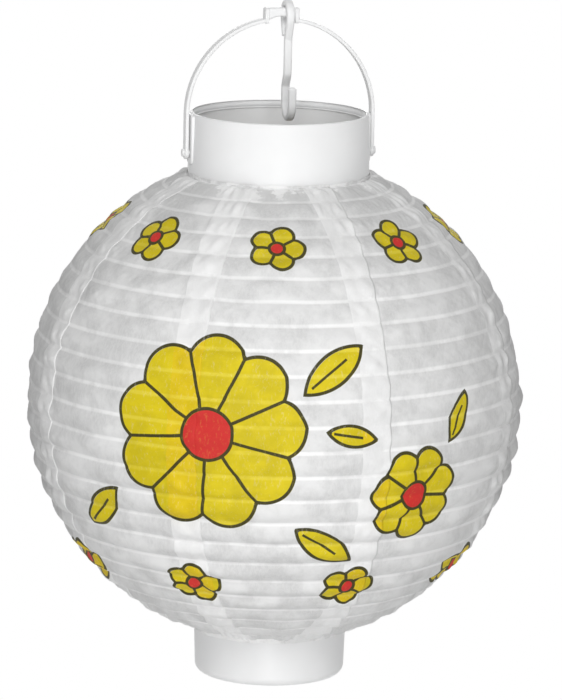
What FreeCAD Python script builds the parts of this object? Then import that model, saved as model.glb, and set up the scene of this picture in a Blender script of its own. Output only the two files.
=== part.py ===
import FreeCAD, Part
import math
import os

# Round paper lantern with a swinging bail, a hanging hook and a battery light in its base.
# Millimetres, +Z up. The origin is the underside of the hook seat at the top of the bail.
# Heights named *_z are first counted from the middle of the paper globe, then moved to the origin.

V = FreeCAD.Vector

# Paper globe
GLOBE_DIAMETER = 200.0      # over the crests of the paper bands
GLOBE_FLATTENING = 0.988    # height of the globe's ellipse over its width
BAND_COUNT = 24             # paper bands between one wire hoop and the next
BAND_BULGE = 1.2            # how far a band puffs out past its two hoops
GORE_COUNT = 8              # pasted paper gores round the globe
RUNS_PER_GORE = 3           # straight runs across one gore, for the paper and its hoops
SEAM_PHASE = 11.0           # degrees from +X to the first seam
SEAM_GAP = 0.1              # hairline between neighbouring gores
PAPER = 0.3                 # paper with its paste, at a hoop
HEM_HEIGHT = 2.8            # paper pasted up the collar and down the cup
GLUE_LINE = 0.05            # between the paper and what it is pasted to

# Wire hoops
WIRE = 0.9
HOOP_GAP = 0.1              # between a hoop and the paper's inner face

# Top collar
COLLAR_RADIUS = 36.4
COLLAR_HEIGHT = 27.5
COLLAR_WALL = 1.6           # above the step
COLLAR_FOOT_WALL = 2.0      # at the collar's bottom
COLLAR_TAPER = 0.7          # less at the rim than at the paper
COLLAR_TUCK = 2.2           # collar below the line where the paper leaves it
MOUTH_STEP = 1.2            # how far the wall steps in below the rim
STEP_DEPTH = 2.9            # step below the rim
RIM_CHAMFER = 0.4
PAD_WIDTH = 9.0             # flat pads that carry the pivots
PAD_PROUD = 0.4             # beyond the collar's widest radius
PAD_BELOW_PIVOT = 4.4

# Bail and its seat for a hook
PIVOT_BELOW_RIM = 15.8
PIN_RADIUS = 1.5
PIN_CLEARANCE = 0.08
PIN_HEAD_RADIUS = 2.1
PIN_HEAD_LENGTH = 0.8
PIN_HEAD_GAP = 0.25
BAIL_GAP = 0.4              # between a pad and the strap
STRAP_THICKNESS = 1.6
STRAP_WIDTH = 5.0
STRAP_LEG = 15.4            # straight run from the pivot to the arch
BAIL_END_RADIUS = 2.6
BUTTON_RADIUS = 1.5
BUTTON_LENGTH = 0.9
SEAT_LENGTH = 14.0
SEAT_TOP_ABOVE_ARCH = 4.5   # seat top above the middle of the strap's arch
SEAT_THICKNESS = 3.5        # at the middle of its arched underside
SEAT_WIDTH = 4.4
SEAT_ARCH_RISE = 1.5
SEAT_EDGE = 1.4             # rounding of the seat's long edges
SEAT_CHEEK = 1.7            # end plates that keep the hook on the seat
SEAT_CHEEK_HEIGHT = 6.4
SEAT_CHEEK_WIDTH = 5.4

# Hanging hook, flat in the plane square to the seat
HOOK_X = 2.6
HOOK_THICKNESS = 2.6
HOOK_WIDTH = 3.2
HOOK_EYE_RADIUS = 5.3       # middle line of the eye
HOOK_SHANK_OFFSET = 1.6     # shank in front of the eye's middle
HOOK_EYE_LEAN = 25.0        # degrees that the eye's limbs lean in, below its round top
HOOK_TIP_RUN = 6.9          # straight run of the eye's free limb
HOOK_SHANK = 14.0
HOOK_BEND_RADIUS = 6.2      # middle line of the open bend
HOOK_BEND_DROP = 17.1       # end of the shank down to the bend's middle
HOOK_BEND_BACK = 3.2        # bend's back limb behind the shank
HOOK_TIP_RISE = 6.8         # open limb above the bend's middle
HOOK_CORNER_RADIUS = 3.0    # middle line, where limbs meet the shank
HOOK_SEAT_CLEARANCE = 0.2
HOOK_CHAMFER = 0.6

# Base cup
CUP_ROOM = 0.8              # between the cradle's corners and the cup's wall
CUP_TAPER = 0.7             # less at the bottom than at the neck
CUP_VISIBLE = 21.2          # below the line where the paper meets it
CUP_TUCK = 3.4              # above that line, inside the paper
CUP_WALL = 1.6
CUP_FLOOR = 1.6
CUP_EDGE_RADIUS = 3.4

# Cells and their cradle
CELL_RADIUS = 5.25
CELL_LENGTH = 44.5
CELL_NIPPLE_RADIUS = 1.9
CELL_NIPPLE = 1.0
CELL_SPACING = 11.2
CELL_FLOOR_GAP = 0.5
CRADLE_WALL = 1.2
CRADLE_HEIGHT = 9.0
CRADLE_CLEARANCE = 0.35
CONTACT_THICKNESS = 0.4
CONTACT_ROOM = 2.2          # from a cell's can to the cradle's end wall
CONTACT_WIDTH = 8.0
TONGUE_GAP = 0.1            # sprung tongue to the cell
TONGUE_WIDTH = 3.0
TONGUE_REACH = 2.6          # each way from the cell's middle
TONGUE_STOCK = 0.64         # along the contact, at a bend
CONTACT_ABOVE_CRADLE = 1.5

# Battery door and its screw
DOOR_PAST_CELLS = 0.75      # each end
DOOR_PAST_CANS = 0.15       # each side
DOOR_CLEARANCE = 0.3
DOOR_RECESS = 0.3           # door above the foot plane
DOOR_THICKNESS = 1.3
DOOR_EAR_RADIUS = 4.0
DOOR_EAR_REACH = 16.6       # screw in front of the cup's axis
SCREW_RADIUS = 1.1
SCREW_HEAD_RADIUS = 2.1
SCREW_HEAD = 1.0
SCREW_LENGTH = 6.0
SCREW_BOSS_RADIUS = 3.0
SCREW_CLEARANCE = 0.15
SCREW_SLOT = 0.5
SCREW_SLOT_DEPTH = 0.4
GRIP_COUNT = 4
GRIP_PITCH = 2.6
GRIP_LENGTH = 10.0
GRIP_WIDTH = 0.8
GRIP_DEPTH = 0.25
GRIP_FROM_EDGE = 2.2

# Switch
SWITCH_Y = 18.6
SWITCH_SLOT_LENGTH = 8.4
SWITCH_SLOT_WIDTH = 3.4
SWITCH_TRAVEL = 3.6
SWITCH_KNOB_LENGTH = 4.0
SWITCH_CLEARANCE = 0.4
SWITCH_BODY = (13.0, 6.0, 4.6)
SWITCH_SIDE_GAP = 0.3       # knob to each long side of its slot
SWITCH_RECESS = 0.2         # knob above the foot plane
SWITCH_GROOVE = 0.5
SWITCH_GROOVE_PITCH = 1.1
SWITCH_HOUSING_TOP = 1.2
SWITCH_TOP_GAP = 0.4

# Lamp
DECK_CLEARANCE = 0.25
DECK_THICKNESS = 1.5
DECK_BELOW_LIP = 1.8
DECK_RIM = 1.2
DECK_LEDGE = 1.0
DECK_RIM_WALL = 1.2
DECK_HOLE_ROOM = 1.0        # round the bulb's cap
SOCKET_HEIGHT = 8.0
SOCKET_WALL = 1.5
SOCKET_FLANGE_RADIUS = 9.5
SOCKET_FLANGE = 1.2
BULB_CAP_RADIUS = 4.7
BULB_CAP_LENGTH = 9.0
BULB_GLASS_RADIUS = 5.6
BULB_GLASS_LENGTH = 15.0
BULB_GLASS_WALL = 0.5
BULB_THREADS = 3
DECK_SCREW_CIRCLE = 23.5

# Worked out from the values above
CRADLE_X = CELL_LENGTH / 2 + CONTACT_ROOM
CRADLE_Y = CELL_SPACING / 2 + CELL_RADIUS + CRADLE_CLEARANCE
CUP_RADIUS = math.hypot(CRADLE_X + CRADLE_WALL, CRADLE_Y + CRADLE_WALL) + CUP_ROOM + CUP_WALL
DOOR_LENGTH = CELL_LENGTH + 2 * DOOR_PAST_CELLS
DOOR_WIDTH = CELL_SPACING + 2 * (CELL_RADIUS + DOOR_PAST_CANS)
CREST_RADIUS = GLOBE_DIAMETER / 2
HOOP_LINE_A = CREST_RADIUS - BAND_BULGE
HOOP_LINE_B = HOOP_LINE_A * GLOBE_FLATTENING
RIM_RADIUS = COLLAR_RADIUS - COLLAR_TAPER
COLLAR_INSIDE = RIM_RADIUS - COLLAR_WALL
MOUTH_RADIUS = COLLAR_INSIDE - MOUTH_STEP
RUN_REACH = 1 / math.cos(math.pi / (GORE_COUNT * RUNS_PER_GORE))    # corner over middle of a flat run
TOP_NECK_R = (COLLAR_RADIUS + GLUE_LINE) * RUN_REACH + PAPER
LOW_NECK_R = (CUP_RADIUS + GLUE_LINE) * RUN_REACH + PAPER
TOP_ANGLE = math.acos(TOP_NECK_R / HOOP_LINE_A)
LOW_ANGLE = -math.acos(LOW_NECK_R / HOOP_LINE_A)
TOP_NECK_Z = HOOP_LINE_B * math.sin(TOP_ANGLE)
LOW_NECK_Z = HOOP_LINE_B * math.sin(LOW_ANGLE)
COLLAR_BOTTOM_Z = TOP_NECK_Z - COLLAR_TUCK
RIM_Z = COLLAR_BOTTOM_Z + COLLAR_HEIGHT
PIVOT_Z = RIM_Z - PIVOT_BELOW_RIM
PAD_X = COLLAR_RADIUS + PAD_PROUD
STRAP_X = PAD_X + BAIL_GAP                      # inner face of the strap's legs
BAIL_RADIUS = STRAP_X + STRAP_THICKNESS / 2
ARCH_Z = PIVOT_Z + STRAP_LEG
SEAT_TOP_Z = ARCH_Z + BAIL_RADIUS + SEAT_TOP_ABOVE_ARCH
SEAT_UNDER_Z = SEAT_TOP_Z - SEAT_THICKNESS
ORIGIN_Z = SEAT_UNDER_Z
CUP_LIP_Z = LOW_NECK_Z + CUP_TUCK
FOOT_Z = LOW_NECK_Z - CUP_VISIBLE
FLOOR_Z = FOOT_Z + CUP_FLOOR
DECK_Z = CUP_LIP_Z - DECK_BELOW_LIP - DECK_THICKNESS
CELL_Z = FLOOR_Z + CELL_FLOOR_GAP + CELL_RADIUS


def ellipse_point(angle):
    return HOOP_LINE_A * math.cos(angle), HOOP_LINE_B * math.sin(angle)


def hoop_points():
    """Radius and height of every line where a band ends: neck, hoops, neck."""
    step = (TOP_ANGLE - LOW_ANGLE) / BAND_COUNT
    return [ellipse_point(TOP_ANGLE - step * i) for i in range(BAND_COUNT + 1)]


def profile_face(points):
    """Closed face in the XZ plane from (radius, height) pairs."""
    corners = [V(r, 0, z) for r, z in points]
    return Part.Face(Part.makePolygon(corners + corners[:1]))


def turned(points, angle=360.0, start=0.0):
    """Solid of revolution about Z from (radius, height) pairs."""
    solid = profile_face(points).revolve(V(0, 0, 0), V(0, 0, 1), angle)
    if start:
        solid.rotate(V(0, 0, 0), V(0, 0, 1), start)
    return solid


def cylinder(radius, height, base, axis=V(0, 0, 1)):
    return Part.makeCylinder(radius, height, base, axis)


def block(x0, x1, y0, y1, z0, z1):
    return Part.makeBox(x1 - x0, y1 - y0, z1 - z0, V(x0, y0, z0))


def paper_gores():
    """Eight gores, each puffed out between the hoops and pasted round collar and cup."""
    lines = hoop_points()
    outer = [(TOP_NECK_R, TOP_NECK_Z + HEM_HEIGHT)]
    for (r0, z0), (r1, z1) in zip(lines, lines[1:]):
        run = math.hypot(r1 - r0, z1 - z0)
        out_r = (z0 - z1) / run
        out_z = (r1 - r0) / run
        outer.append((r0, z0))
        outer.append(((r0 + r1) / 2 + out_r * BAND_BULGE, (z0 + z1) / 2 + out_z * BAND_BULGE))
    outer.append(lines[-1])
    outer.append((LOW_NECK_R, LOW_NECK_Z - HEM_HEIGHT))
    inner = [(LOW_NECK_R - PAPER, LOW_NECK_Z - HEM_HEIGHT), (LOW_NECK_R - PAPER, LOW_NECK_Z + PAPER)]
    for r, z in reversed(lines[1:-1]):
        inner.append(inside_paper(r, z))
    inner.append((TOP_NECK_R - PAPER, TOP_NECK_Z - PAPER))
    inner.append((TOP_NECK_R - PAPER, TOP_NECK_Z + HEM_HEIGHT))
    share = 360.0 / GORE_COUNT
    gap = math.degrees(SEAM_GAP / CREST_RADIUS)
    return [
        flat_run_solid(outer + inner, SEAM_PHASE + share * i + gap / 2, share - gap)
        for i in range(GORE_COUNT)
    ]


def flat_run_solid(profile, start, sweep):
    """Solid turned in straight runs: the profile stands at each turn, flat faces join one to the next."""
    turns = [math.radians(start + sweep * i / RUNS_PER_GORE) for i in range(RUNS_PER_GORE + 1)]
    stands = [[V(r * math.cos(a), r * math.sin(a), z) for r, z in profile] for a in turns]
    faces = [flat_face(stands[0][::-1]), flat_face(stands[-1])]
    for here, there in zip(stands, stands[1:]):
        for i in range(len(profile)):
            j = (i + 1) % len(profile)
            faces.append(flat_face([here[i], here[j], there[j], there[i]]))
    solid = Part.Solid(Part.Shell(faces))
    if solid.Volume < 0:
        solid.reverse()
    return solid


def flat_face(corners):
    return Part.Face(Part.makePolygon(corners + corners[:1]))


def outward(r, z):
    """Outward direction of the globe's ellipse at a hoop line."""
    nr = r / HOOP_LINE_A ** 2
    nz = z / HOOP_LINE_B ** 2
    size = math.hypot(nr, nz)
    return nr / size, nz / size


def inside_paper(r, z):
    """Point on the paper's inner face next to a hoop line."""
    nr, nz = outward(r, z)
    return r - PAPER * nr, z - PAPER * nz


def wire_hoops():
    """One closed hoop of straight runs behind each crease of the paper."""
    hoops = []
    for r, z in hoop_points()[1:-1]:
        nr, nz = outward(r, z)
        inner_r, inner_z = inside_paper(r, z)
        back = WIRE / 2 * (nr + abs(nz)) + HOOP_GAP
        middle_r = inner_r - nr * back
        middle_z = inner_z - nz * back
        outside = hoop_disc(middle_r + WIRE / 2, middle_z)
        hoops.append(outside.cut(hoop_disc(middle_r - WIRE / 2, middle_z)))
    return hoops


def hoop_disc(corner_r, z):
    """Many-sided disc as thick as the wire, its middle at a height."""
    sides = GORE_COUNT * RUNS_PER_GORE
    turns = [math.radians(SEAM_PHASE + 360.0 * i / sides) for i in range(sides)]
    corners = [V(corner_r * math.cos(a), corner_r * math.sin(a), z - WIRE / 2) for a in turns]
    return Part.Face(Part.makePolygon(corners + corners[:1])).extrude(V(0, 0, WIRE))


def top_collar():
    """Moulded collar: open tapered tube that steps in below its rim, and a flat pad at each pivot."""
    step_z = RIM_Z - STEP_DEPTH
    tube = turned([
        (COLLAR_RADIUS, COLLAR_BOTTOM_Z),
        (COLLAR_RADIUS, TOP_NECK_Z + HEM_HEIGHT),
        (RIM_RADIUS, RIM_Z - RIM_CHAMFER),
        (RIM_RADIUS - RIM_CHAMFER, RIM_Z),
        (COLLAR_INSIDE + RIM_CHAMFER, RIM_Z),
        (COLLAR_INSIDE, RIM_Z - RIM_CHAMFER),
        (COLLAR_INSIDE, step_z),
        (MOUTH_RADIUS, step_z),
        (COLLAR_RADIUS - COLLAR_FOOT_WALL, COLLAR_BOTTOM_Z),
    ])
    below = COLLAR_BOTTOM_Z - COLLAR_HEIGHT / 2
    bore = cylinder(COLLAR_INSIDE + COLLAR_WALL / 2, 2 * COLLAR_HEIGHT, V(0, 0, below))
    for side in (-1, 1):
        pad = Part.makeBox(
            PAD_PROUD + COLLAR_WALL * 2, PAD_WIDTH, PIVOT_BELOW_RIM + PAD_BELOW_PIVOT - RIM_CHAMFER,
            V(PAD_X - PAD_PROUD - COLLAR_WALL * 2, -PAD_WIDTH / 2, PIVOT_Z - PAD_BELOW_PIVOT),
        )
        edges = [e for e in pad.Edges if abs(e.CenterOfMass.x - PAD_X) < 1e-6]
        pad = pad.makeChamfer(PAD_PROUD * 0.6, edges).cut(bore)
        if side < 0:
            pad.rotate(V(0, 0, 0), V(0, 0, 1), 180)
        tube = tube.fuse(pad)
    hole = cylinder(PIN_RADIUS + PIN_CLEARANCE, 2 * PAD_X + 2, V(-PAD_X - 1, 0, PIVOT_Z), V(1, 0, 0))
    return tube.cut(hole).removeSplitter()


def hook_seat():
    """Raised seat: a bar with rounded edges and an arched underside between two cheeks."""
    half = SEAT_LENGTH / 2
    bar = block(-half, half, -SEAT_WIDTH / 2, SEAT_WIDTH / 2, SEAT_UNDER_Z - SEAT_ARCH_RISE, SEAT_TOP_Z)
    arch_half = half - SEAT_CHEEK
    arch_radius = (arch_half ** 2 + SEAT_ARCH_RISE ** 2) / (2 * SEAT_ARCH_RISE)
    bar = bar.cut(cylinder(
        arch_radius, 2 * SEAT_WIDTH, V(0, -SEAT_WIDTH, SEAT_UNDER_Z - arch_radius), V(0, 1, 0)))
    bar = bar.removeSplitter()
    long_edges = [
        e for e in bar.Edges
        if e.BoundBox.XLength > 2 * SEAT_CHEEK and abs(abs(e.CenterOfMass.y) - SEAT_WIDTH / 2) < 1e-6
    ]
    bar = bar.makeFillet(SEAT_EDGE, long_edges)
    for side in (-1, 1):
        outer = side * half
        inner = side * (half - SEAT_CHEEK)
        cheek = block(
            min(outer, inner), max(outer, inner), -SEAT_CHEEK_WIDTH / 2, SEAT_CHEEK_WIDTH / 2,
            SEAT_TOP_Z - SEAT_CHEEK_HEIGHT, SEAT_TOP_Z)
        rounded = [e for e in cheek.Edges if e.BoundBox.XLength > SEAT_CHEEK / 2]
        bar = bar.fuse(cheek.makeFillet(SEAT_EDGE, rounded))
    return bar


def bail_strap():
    """Strap with two straight legs and a half-circle arch, open under the seat."""
    outer = BAIL_RADIUS + STRAP_THICKNESS / 2
    inner = BAIL_RADIUS - STRAP_THICKNESS / 2
    top_out = V(0, 0, ARCH_Z + outer)
    top_in = V(0, 0, ARCH_Z + inner)
    path = [
        Part.makeLine(V(outer, 0, PIVOT_Z), V(outer, 0, ARCH_Z)),
        Part.Arc(V(outer, 0, ARCH_Z), top_out, V(-outer, 0, ARCH_Z)).toShape(),
        Part.makeLine(V(-outer, 0, ARCH_Z), V(-outer, 0, PIVOT_Z)),
        Part.makeLine(V(-outer, 0, PIVOT_Z), V(-inner, 0, PIVOT_Z)),
        Part.makeLine(V(-inner, 0, PIVOT_Z), V(-inner, 0, ARCH_Z)),
        Part.Arc(V(-inner, 0, ARCH_Z), top_in, V(inner, 0, ARCH_Z)).toShape(),
        Part.makeLine(V(inner, 0, ARCH_Z), V(inner, 0, PIVOT_Z)),
        Part.makeLine(V(inner, 0, PIVOT_Z), V(outer, 0, PIVOT_Z)),
    ]
    strap = Part.Face(Part.Wire(path)).extrude(V(0, STRAP_WIDTH, 0))
    strap.translate(V(0, -STRAP_WIDTH / 2, 0))
    gap = SEAT_LENGTH / 2 - SEAT_CHEEK / 2
    return strap.cut(block(-gap, gap, -STRAP_WIDTH, STRAP_WIDTH, ARCH_Z, SEAT_TOP_Z))


def bail_pivot(side):
    """Round end of a leg, a pin through the collar's wall with a snap head, and an outer button."""
    head_outer = math.sqrt(MOUTH_RADIUS ** 2 - PIN_HEAD_RADIUS ** 2) - PIN_HEAD_GAP
    end = cylinder(BAIL_END_RADIUS, STRAP_THICKNESS, V(STRAP_X, 0, PIVOT_Z), V(1, 0, 0))
    pin = cylinder(PIN_RADIUS, STRAP_X - head_outer + 0.5, V(head_outer - 0.5, 0, PIVOT_Z), V(1, 0, 0))
    head = Part.makeCone(
        PIN_HEAD_RADIUS * 0.7, PIN_HEAD_RADIUS, PIN_HEAD_LENGTH,
        V(head_outer - PIN_HEAD_LENGTH, 0, PIVOT_Z), V(1, 0, 0))
    button = cylinder(BUTTON_RADIUS, BUTTON_LENGTH, V(STRAP_X + STRAP_THICKNESS, 0, PIVOT_Z), V(1, 0, 0))
    pivot = end.fuse([pin, head, button])
    if side < 0:
        pivot.rotate(V(0, 0, 0), V(0, 0, 1), 180)
    return pivot


def bail_handle():
    return bail_strap().fuse([hook_seat(), bail_pivot(1), bail_pivot(-1)]).removeSplitter()


def seat_under_hook():
    """Lowest point of the seat's underside across the hook's width."""
    arch_half = SEAT_LENGTH / 2 - SEAT_CHEEK
    arch_radius = (arch_half ** 2 + SEAT_ARCH_RISE ** 2) / (2 * SEAT_ARCH_RISE)
    furthest = HOOK_X + HOOK_WIDTH / 2
    return SEAT_UNDER_Z - arch_radius + math.sqrt(arch_radius ** 2 - furthest ** 2)


def hook_seat_axis_z():
    """Middle of the seat's section under the hook, which the hook turns about."""
    return (SEAT_TOP_Z + seat_under_hook()) / 2


def seat_corner_reach():
    """Furthest point of the seat's rounded section from that axis."""
    half_w = SEAT_WIDTH / 2 - SEAT_EDGE
    half_h = SEAT_TOP_Z - hook_seat_axis_z() - SEAT_EDGE
    return math.hypot(half_w, half_h) + SEAT_EDGE


def rounded_run(points, radius):
    """Edges through flat points in the YZ plane, each inner corner rounded by a tangent arc."""
    corners = [V(HOOK_X, y, z) for y, z in points]
    edges = []
    start = corners[0]
    for i in range(1, len(corners) - 1):
        back = (corners[i - 1] - corners[i]).normalize()
        ahead = (corners[i + 1] - corners[i]).normalize()
        half_turn = (math.pi - back.getAngle(ahead)) / 2
        trim = radius * math.tan(half_turn)
        a = corners[i] + back * trim
        b = corners[i] + ahead * trim
        middle = (back + ahead).normalize()
        mid = corners[i] + middle * (radius / math.cos(half_turn) - radius)
        edges.append(Part.makeLine(start, a))
        edges.append(Part.Arc(a, mid, b).toShape())
        start = b
    edges.append(Part.makeLine(start, corners[-1]))
    return edges


def hook_middle_line():
    """S line of the hook: sprung eye, slanting limb, shank, joggle, open bend and its tip."""
    reach = seat_corner_reach() + HOOK_SEAT_CLEARANCE + HOOK_THICKNESS / 2
    eye_z = hook_seat_axis_z() + reach - HOOK_EYE_RADIUS
    lean = math.radians(HOOK_EYE_LEAN)
    side = HOOK_EYE_RADIUS * math.cos(lean)
    low = eye_z - HOOK_EYE_RADIUS * math.sin(lean)
    rear = (side, low)
    rear_tip = (side - HOOK_TIP_RUN * math.sin(lean), low - HOOK_TIP_RUN * math.cos(lean))
    shank_y = -HOOK_SHANK_OFFSET
    shank_top = low - (side - HOOK_SHANK_OFFSET) / math.tan(lean)
    shank_low = shank_top - HOOK_SHANK
    back_y = shank_y + HOOK_BEND_BACK
    bend_z = shank_low - HOOK_BEND_DROP + HOOK_BEND_RADIUS
    front_y = back_y - 2 * HOOK_BEND_RADIUS
    edges = [
        Part.makeLine(V(HOOK_X, *rear_tip), V(HOOK_X, *rear)),
        Part.Arc(
            V(HOOK_X, *rear), V(HOOK_X, 0, eye_z + HOOK_EYE_RADIUS), V(HOOK_X, -side, low)).toShape(),
    ]
    edges += rounded_run([
        (-side, low), (shank_y, shank_top), (shank_y, shank_low),
        (back_y, shank_low - HOOK_BEND_BACK * 1.5), (back_y, bend_z),
    ], HOOK_CORNER_RADIUS)
    edges += [
        Part.Arc(
            V(HOOK_X, back_y, bend_z),
            V(HOOK_X, back_y - HOOK_BEND_RADIUS, bend_z - HOOK_BEND_RADIUS),
            V(HOOK_X, front_y, bend_z)).toShape(),
        Part.makeLine(V(HOOK_X, front_y, bend_z), V(HOOK_X, front_y, bend_z + HOOK_TIP_RISE)),
    ]
    return Part.Wire(edges)


def hanging_hook():
    """S-shaped hook: one bar with bevelled edges swept along its middle line."""
    path = hook_middle_line()
    start = path.Edges[0].valueAt(path.Edges[0].FirstParameter)
    along = path.Edges[0].tangentAt(path.Edges[0].FirstParameter)
    across = V(1, 0, 0)
    side = along.cross(across).normalize()
    w, t, c = HOOK_WIDTH / 2, HOOK_THICKNESS / 2, HOOK_CHAMFER
    outline = [
        (w, c - t), (w, t - c), (w - c, t), (c - w, t), (-w, t - c), (-w, c - t), (c - w, -t), (w - c, -t),
    ]
    corners = [start + across * u + side * v for u, v in outline]
    sweep = Part.BRepOffsetAPI.MakePipeShell(path)
    sweep.setBiNormalMode(across)
    sweep.add(Part.makePolygon(corners + corners[:1]))
    sweep.build()
    sweep.makeSolid()
    return sweep.shape()


def door_outline(grow, z0, z1):
    half_x = DOOR_LENGTH / 2 + grow
    half_y = DOOR_WIDTH / 2 + grow
    plate = block(-half_x, half_x, -half_y, half_y, z0, z1)
    ear = cylinder(DOOR_EAR_RADIUS + grow, z1 - z0, V(0, -DOOR_EAR_REACH, z0))
    web = block(-DOOR_EAR_RADIUS - grow, DOOR_EAR_RADIUS + grow, -DOOR_EAR_REACH, -DOOR_WIDTH / 2, z0, z1)
    return plate.fuse([ear, web]).removeSplitter()


def base_cup():
    """Tapered cup with a rounded foot edge, a deck ledge, a cell cradle and a screw boss."""
    low_r = CUP_RADIUS - CUP_TAPER
    shell = turned([
        (0, FOOT_Z), (low_r, FOOT_Z), (CUP_RADIUS, LOW_NECK_Z), (CUP_RADIUS, CUP_LIP_Z),
        (CUP_RADIUS - CUP_WALL, CUP_LIP_Z), (CUP_RADIUS - CUP_WALL, DECK_Z),
        (CUP_RADIUS - CUP_WALL - DECK_LEDGE, DECK_Z), (low_r - CUP_WALL - DECK_LEDGE, FLOOR_Z), (0, FLOOR_Z),
    ])
    foot_edge = [e for e in shell.Edges if abs(e.CenterOfMass.z - FOOT_Z) < 1e-6 and e.Length > low_r * 2]
    shell = shell.makeFillet(CUP_EDGE_RADIUS, foot_edge)
    cradle = block(
        -CRADLE_X - CRADLE_WALL, CRADLE_X + CRADLE_WALL, -CRADLE_Y - CRADLE_WALL, CRADLE_Y + CRADLE_WALL,
        FLOOR_Z, FLOOR_Z + CRADLE_HEIGHT)
    cradle = cradle.cut(block(-CRADLE_X, CRADLE_X, -CRADLE_Y, CRADLE_Y, FLOOR_Z, FLOOR_Z + CRADLE_HEIGHT + 1))
    boss = cylinder(SCREW_BOSS_RADIUS, SCREW_LENGTH + 1, V(0, -DOOR_EAR_REACH, FLOOR_Z))
    room = turned([(0, FLOOR_Z), (low_r - CUP_WALL, FLOOR_Z), (CUP_RADIUS - CUP_WALL, DECK_Z), (0, DECK_Z)])
    web = block(
        -SCREW_RADIUS, SCREW_RADIUS, -DOOR_EAR_REACH - 2 * SCREW_BOSS_RADIUS, -CRADLE_Y - CRADLE_WALL / 2,
        FLOOR_Z, FLOOR_Z + SCREW_LENGTH)
    cup = shell.fuse([cradle.common(room), boss, web])
    cup = cup.cut(door_outline(DOOR_CLEARANCE, FOOT_Z - CUP_FLOOR, FLOOR_Z))
    bore = cylinder(SCREW_RADIUS + SCREW_CLEARANCE, SCREW_LENGTH * 2, V(0, -DOOR_EAR_REACH, FLOOR_Z - 1))
    slot = block(
        -SWITCH_SLOT_LENGTH / 2, SWITCH_SLOT_LENGTH / 2,
        SWITCH_Y - SWITCH_SLOT_WIDTH / 2, SWITCH_Y + SWITCH_SLOT_WIDTH / 2, FOOT_Z - 1, FLOOR_Z + 1)
    return cup.cut([bore, slot]).removeSplitter()


def battery_door():
    """Flat door with an ear for its screw and cut grip lines inside its recess."""
    z0 = FOOT_Z + DOOR_RECESS
    plate = door_outline(0, z0, z0 + DOOR_THICKNESS)
    hole = cylinder(SCREW_RADIUS + SCREW_CLEARANCE, DOOR_THICKNESS + 2, V(0, -DOOR_EAR_REACH, z0 - 1))
    sink = cylinder(SCREW_HEAD_RADIUS + SCREW_CLEARANCE, SCREW_HEAD * 0.8, V(0, -DOOR_EAR_REACH, z0))
    grips = []
    for i in range(GRIP_COUNT):
        y = DOOR_WIDTH / 2 - GRIP_FROM_EDGE - GRIP_PITCH * i
        grips.append(block(
            -GRIP_LENGTH / 2, GRIP_LENGTH / 2, y - GRIP_WIDTH / 2, y + GRIP_WIDTH / 2, z0, z0 + GRIP_DEPTH))
    return plate.cut([hole, sink] + grips).removeSplitter()


def door_screw():
    z0 = FOOT_Z + DOOR_RECESS + 0.1
    head = cylinder(SCREW_HEAD_RADIUS, SCREW_HEAD * 0.7, V(0, -DOOR_EAR_REACH, z0))
    shank = cylinder(SCREW_RADIUS, SCREW_LENGTH, V(0, -DOOR_EAR_REACH, z0))
    arm = SCREW_HEAD_RADIUS * 0.65
    half = SCREW_SLOT / 2
    low, high = z0 - SCREW_SLOT_DEPTH, z0 + SCREW_SLOT_DEPTH
    cross = block(-arm, arm, -DOOR_EAR_REACH - half, -DOOR_EAR_REACH + half, low, high)
    cross = cross.fuse(block(-half, half, -DOOR_EAR_REACH - arm, -DOOR_EAR_REACH + arm, low, high))
    return head.fuse(shank).cut(cross)


def cell(side):
    """One small round cell along X; its button points to -side."""
    y = side * CELL_SPACING / 2
    half = CELL_LENGTH / 2
    can = cylinder(CELL_RADIUS, CELL_LENGTH - CELL_NIPPLE, V(-half, y, CELL_Z), V(1, 0, 0))
    nipple = cylinder(CELL_NIPPLE_RADIUS, CELL_NIPPLE, V(half - CELL_NIPPLE, y, CELL_Z), V(1, 0, 0))
    body = can.fuse(nipple)
    if side > 0:
        body.rotate(V(0, y, CELL_Z), V(0, 0, 1), 180)
    return body


def contact_plate(x_side, y, width):
    """Flat contact standing against the cradle's end wall."""
    wall = x_side * CRADLE_X
    face = wall - x_side * CONTACT_THICKNESS
    return block(
        min(wall, face), max(wall, face), y - width / 2, y + width / 2,
        FLOOR_Z, FLOOR_Z + CRADLE_HEIGHT + CONTACT_ABOVE_CRADLE)


def contact_tongue(x_side, y):
    """Sprung tongue bent from a contact towards the flat end of a cell."""
    wall = x_side * (CRADLE_X - CONTACT_THICKNESS)
    reach = CONTACT_ROOM - CONTACT_THICKNESS - TONGUE_GAP
    tip = wall - x_side * reach
    t = x_side * CONTACT_THICKNESS
    low, high = CELL_Z - TONGUE_REACH, CELL_Z + TONGUE_REACH
    near = y - TONGUE_WIDTH / 2
    corners = [
        V(wall, near, low), V(tip, near, CELL_Z), V(wall, near, high),
        V(wall, near, high - TONGUE_STOCK), V(tip + t, near, CELL_Z), V(wall, near, low + TONGUE_STOCK),
    ]
    return Part.Face(Part.makePolygon(corners + corners[:1])).extrude(V(0, TONGUE_WIDTH, 0))


def contact_bridge():
    """Joins the front cell's button to the rear cell's flat end."""
    return contact_plate(1, 0, CELL_SPACING + CONTACT_WIDTH).fuse(contact_tongue(1, CELL_SPACING / 2))


def contact_positive():
    return contact_plate(-1, CELL_SPACING / 2, CONTACT_WIDTH)


def contact_negative():
    return contact_plate(-1, -CELL_SPACING / 2, CONTACT_WIDTH).fuse(contact_tongue(-1, -CELL_SPACING / 2))


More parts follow.
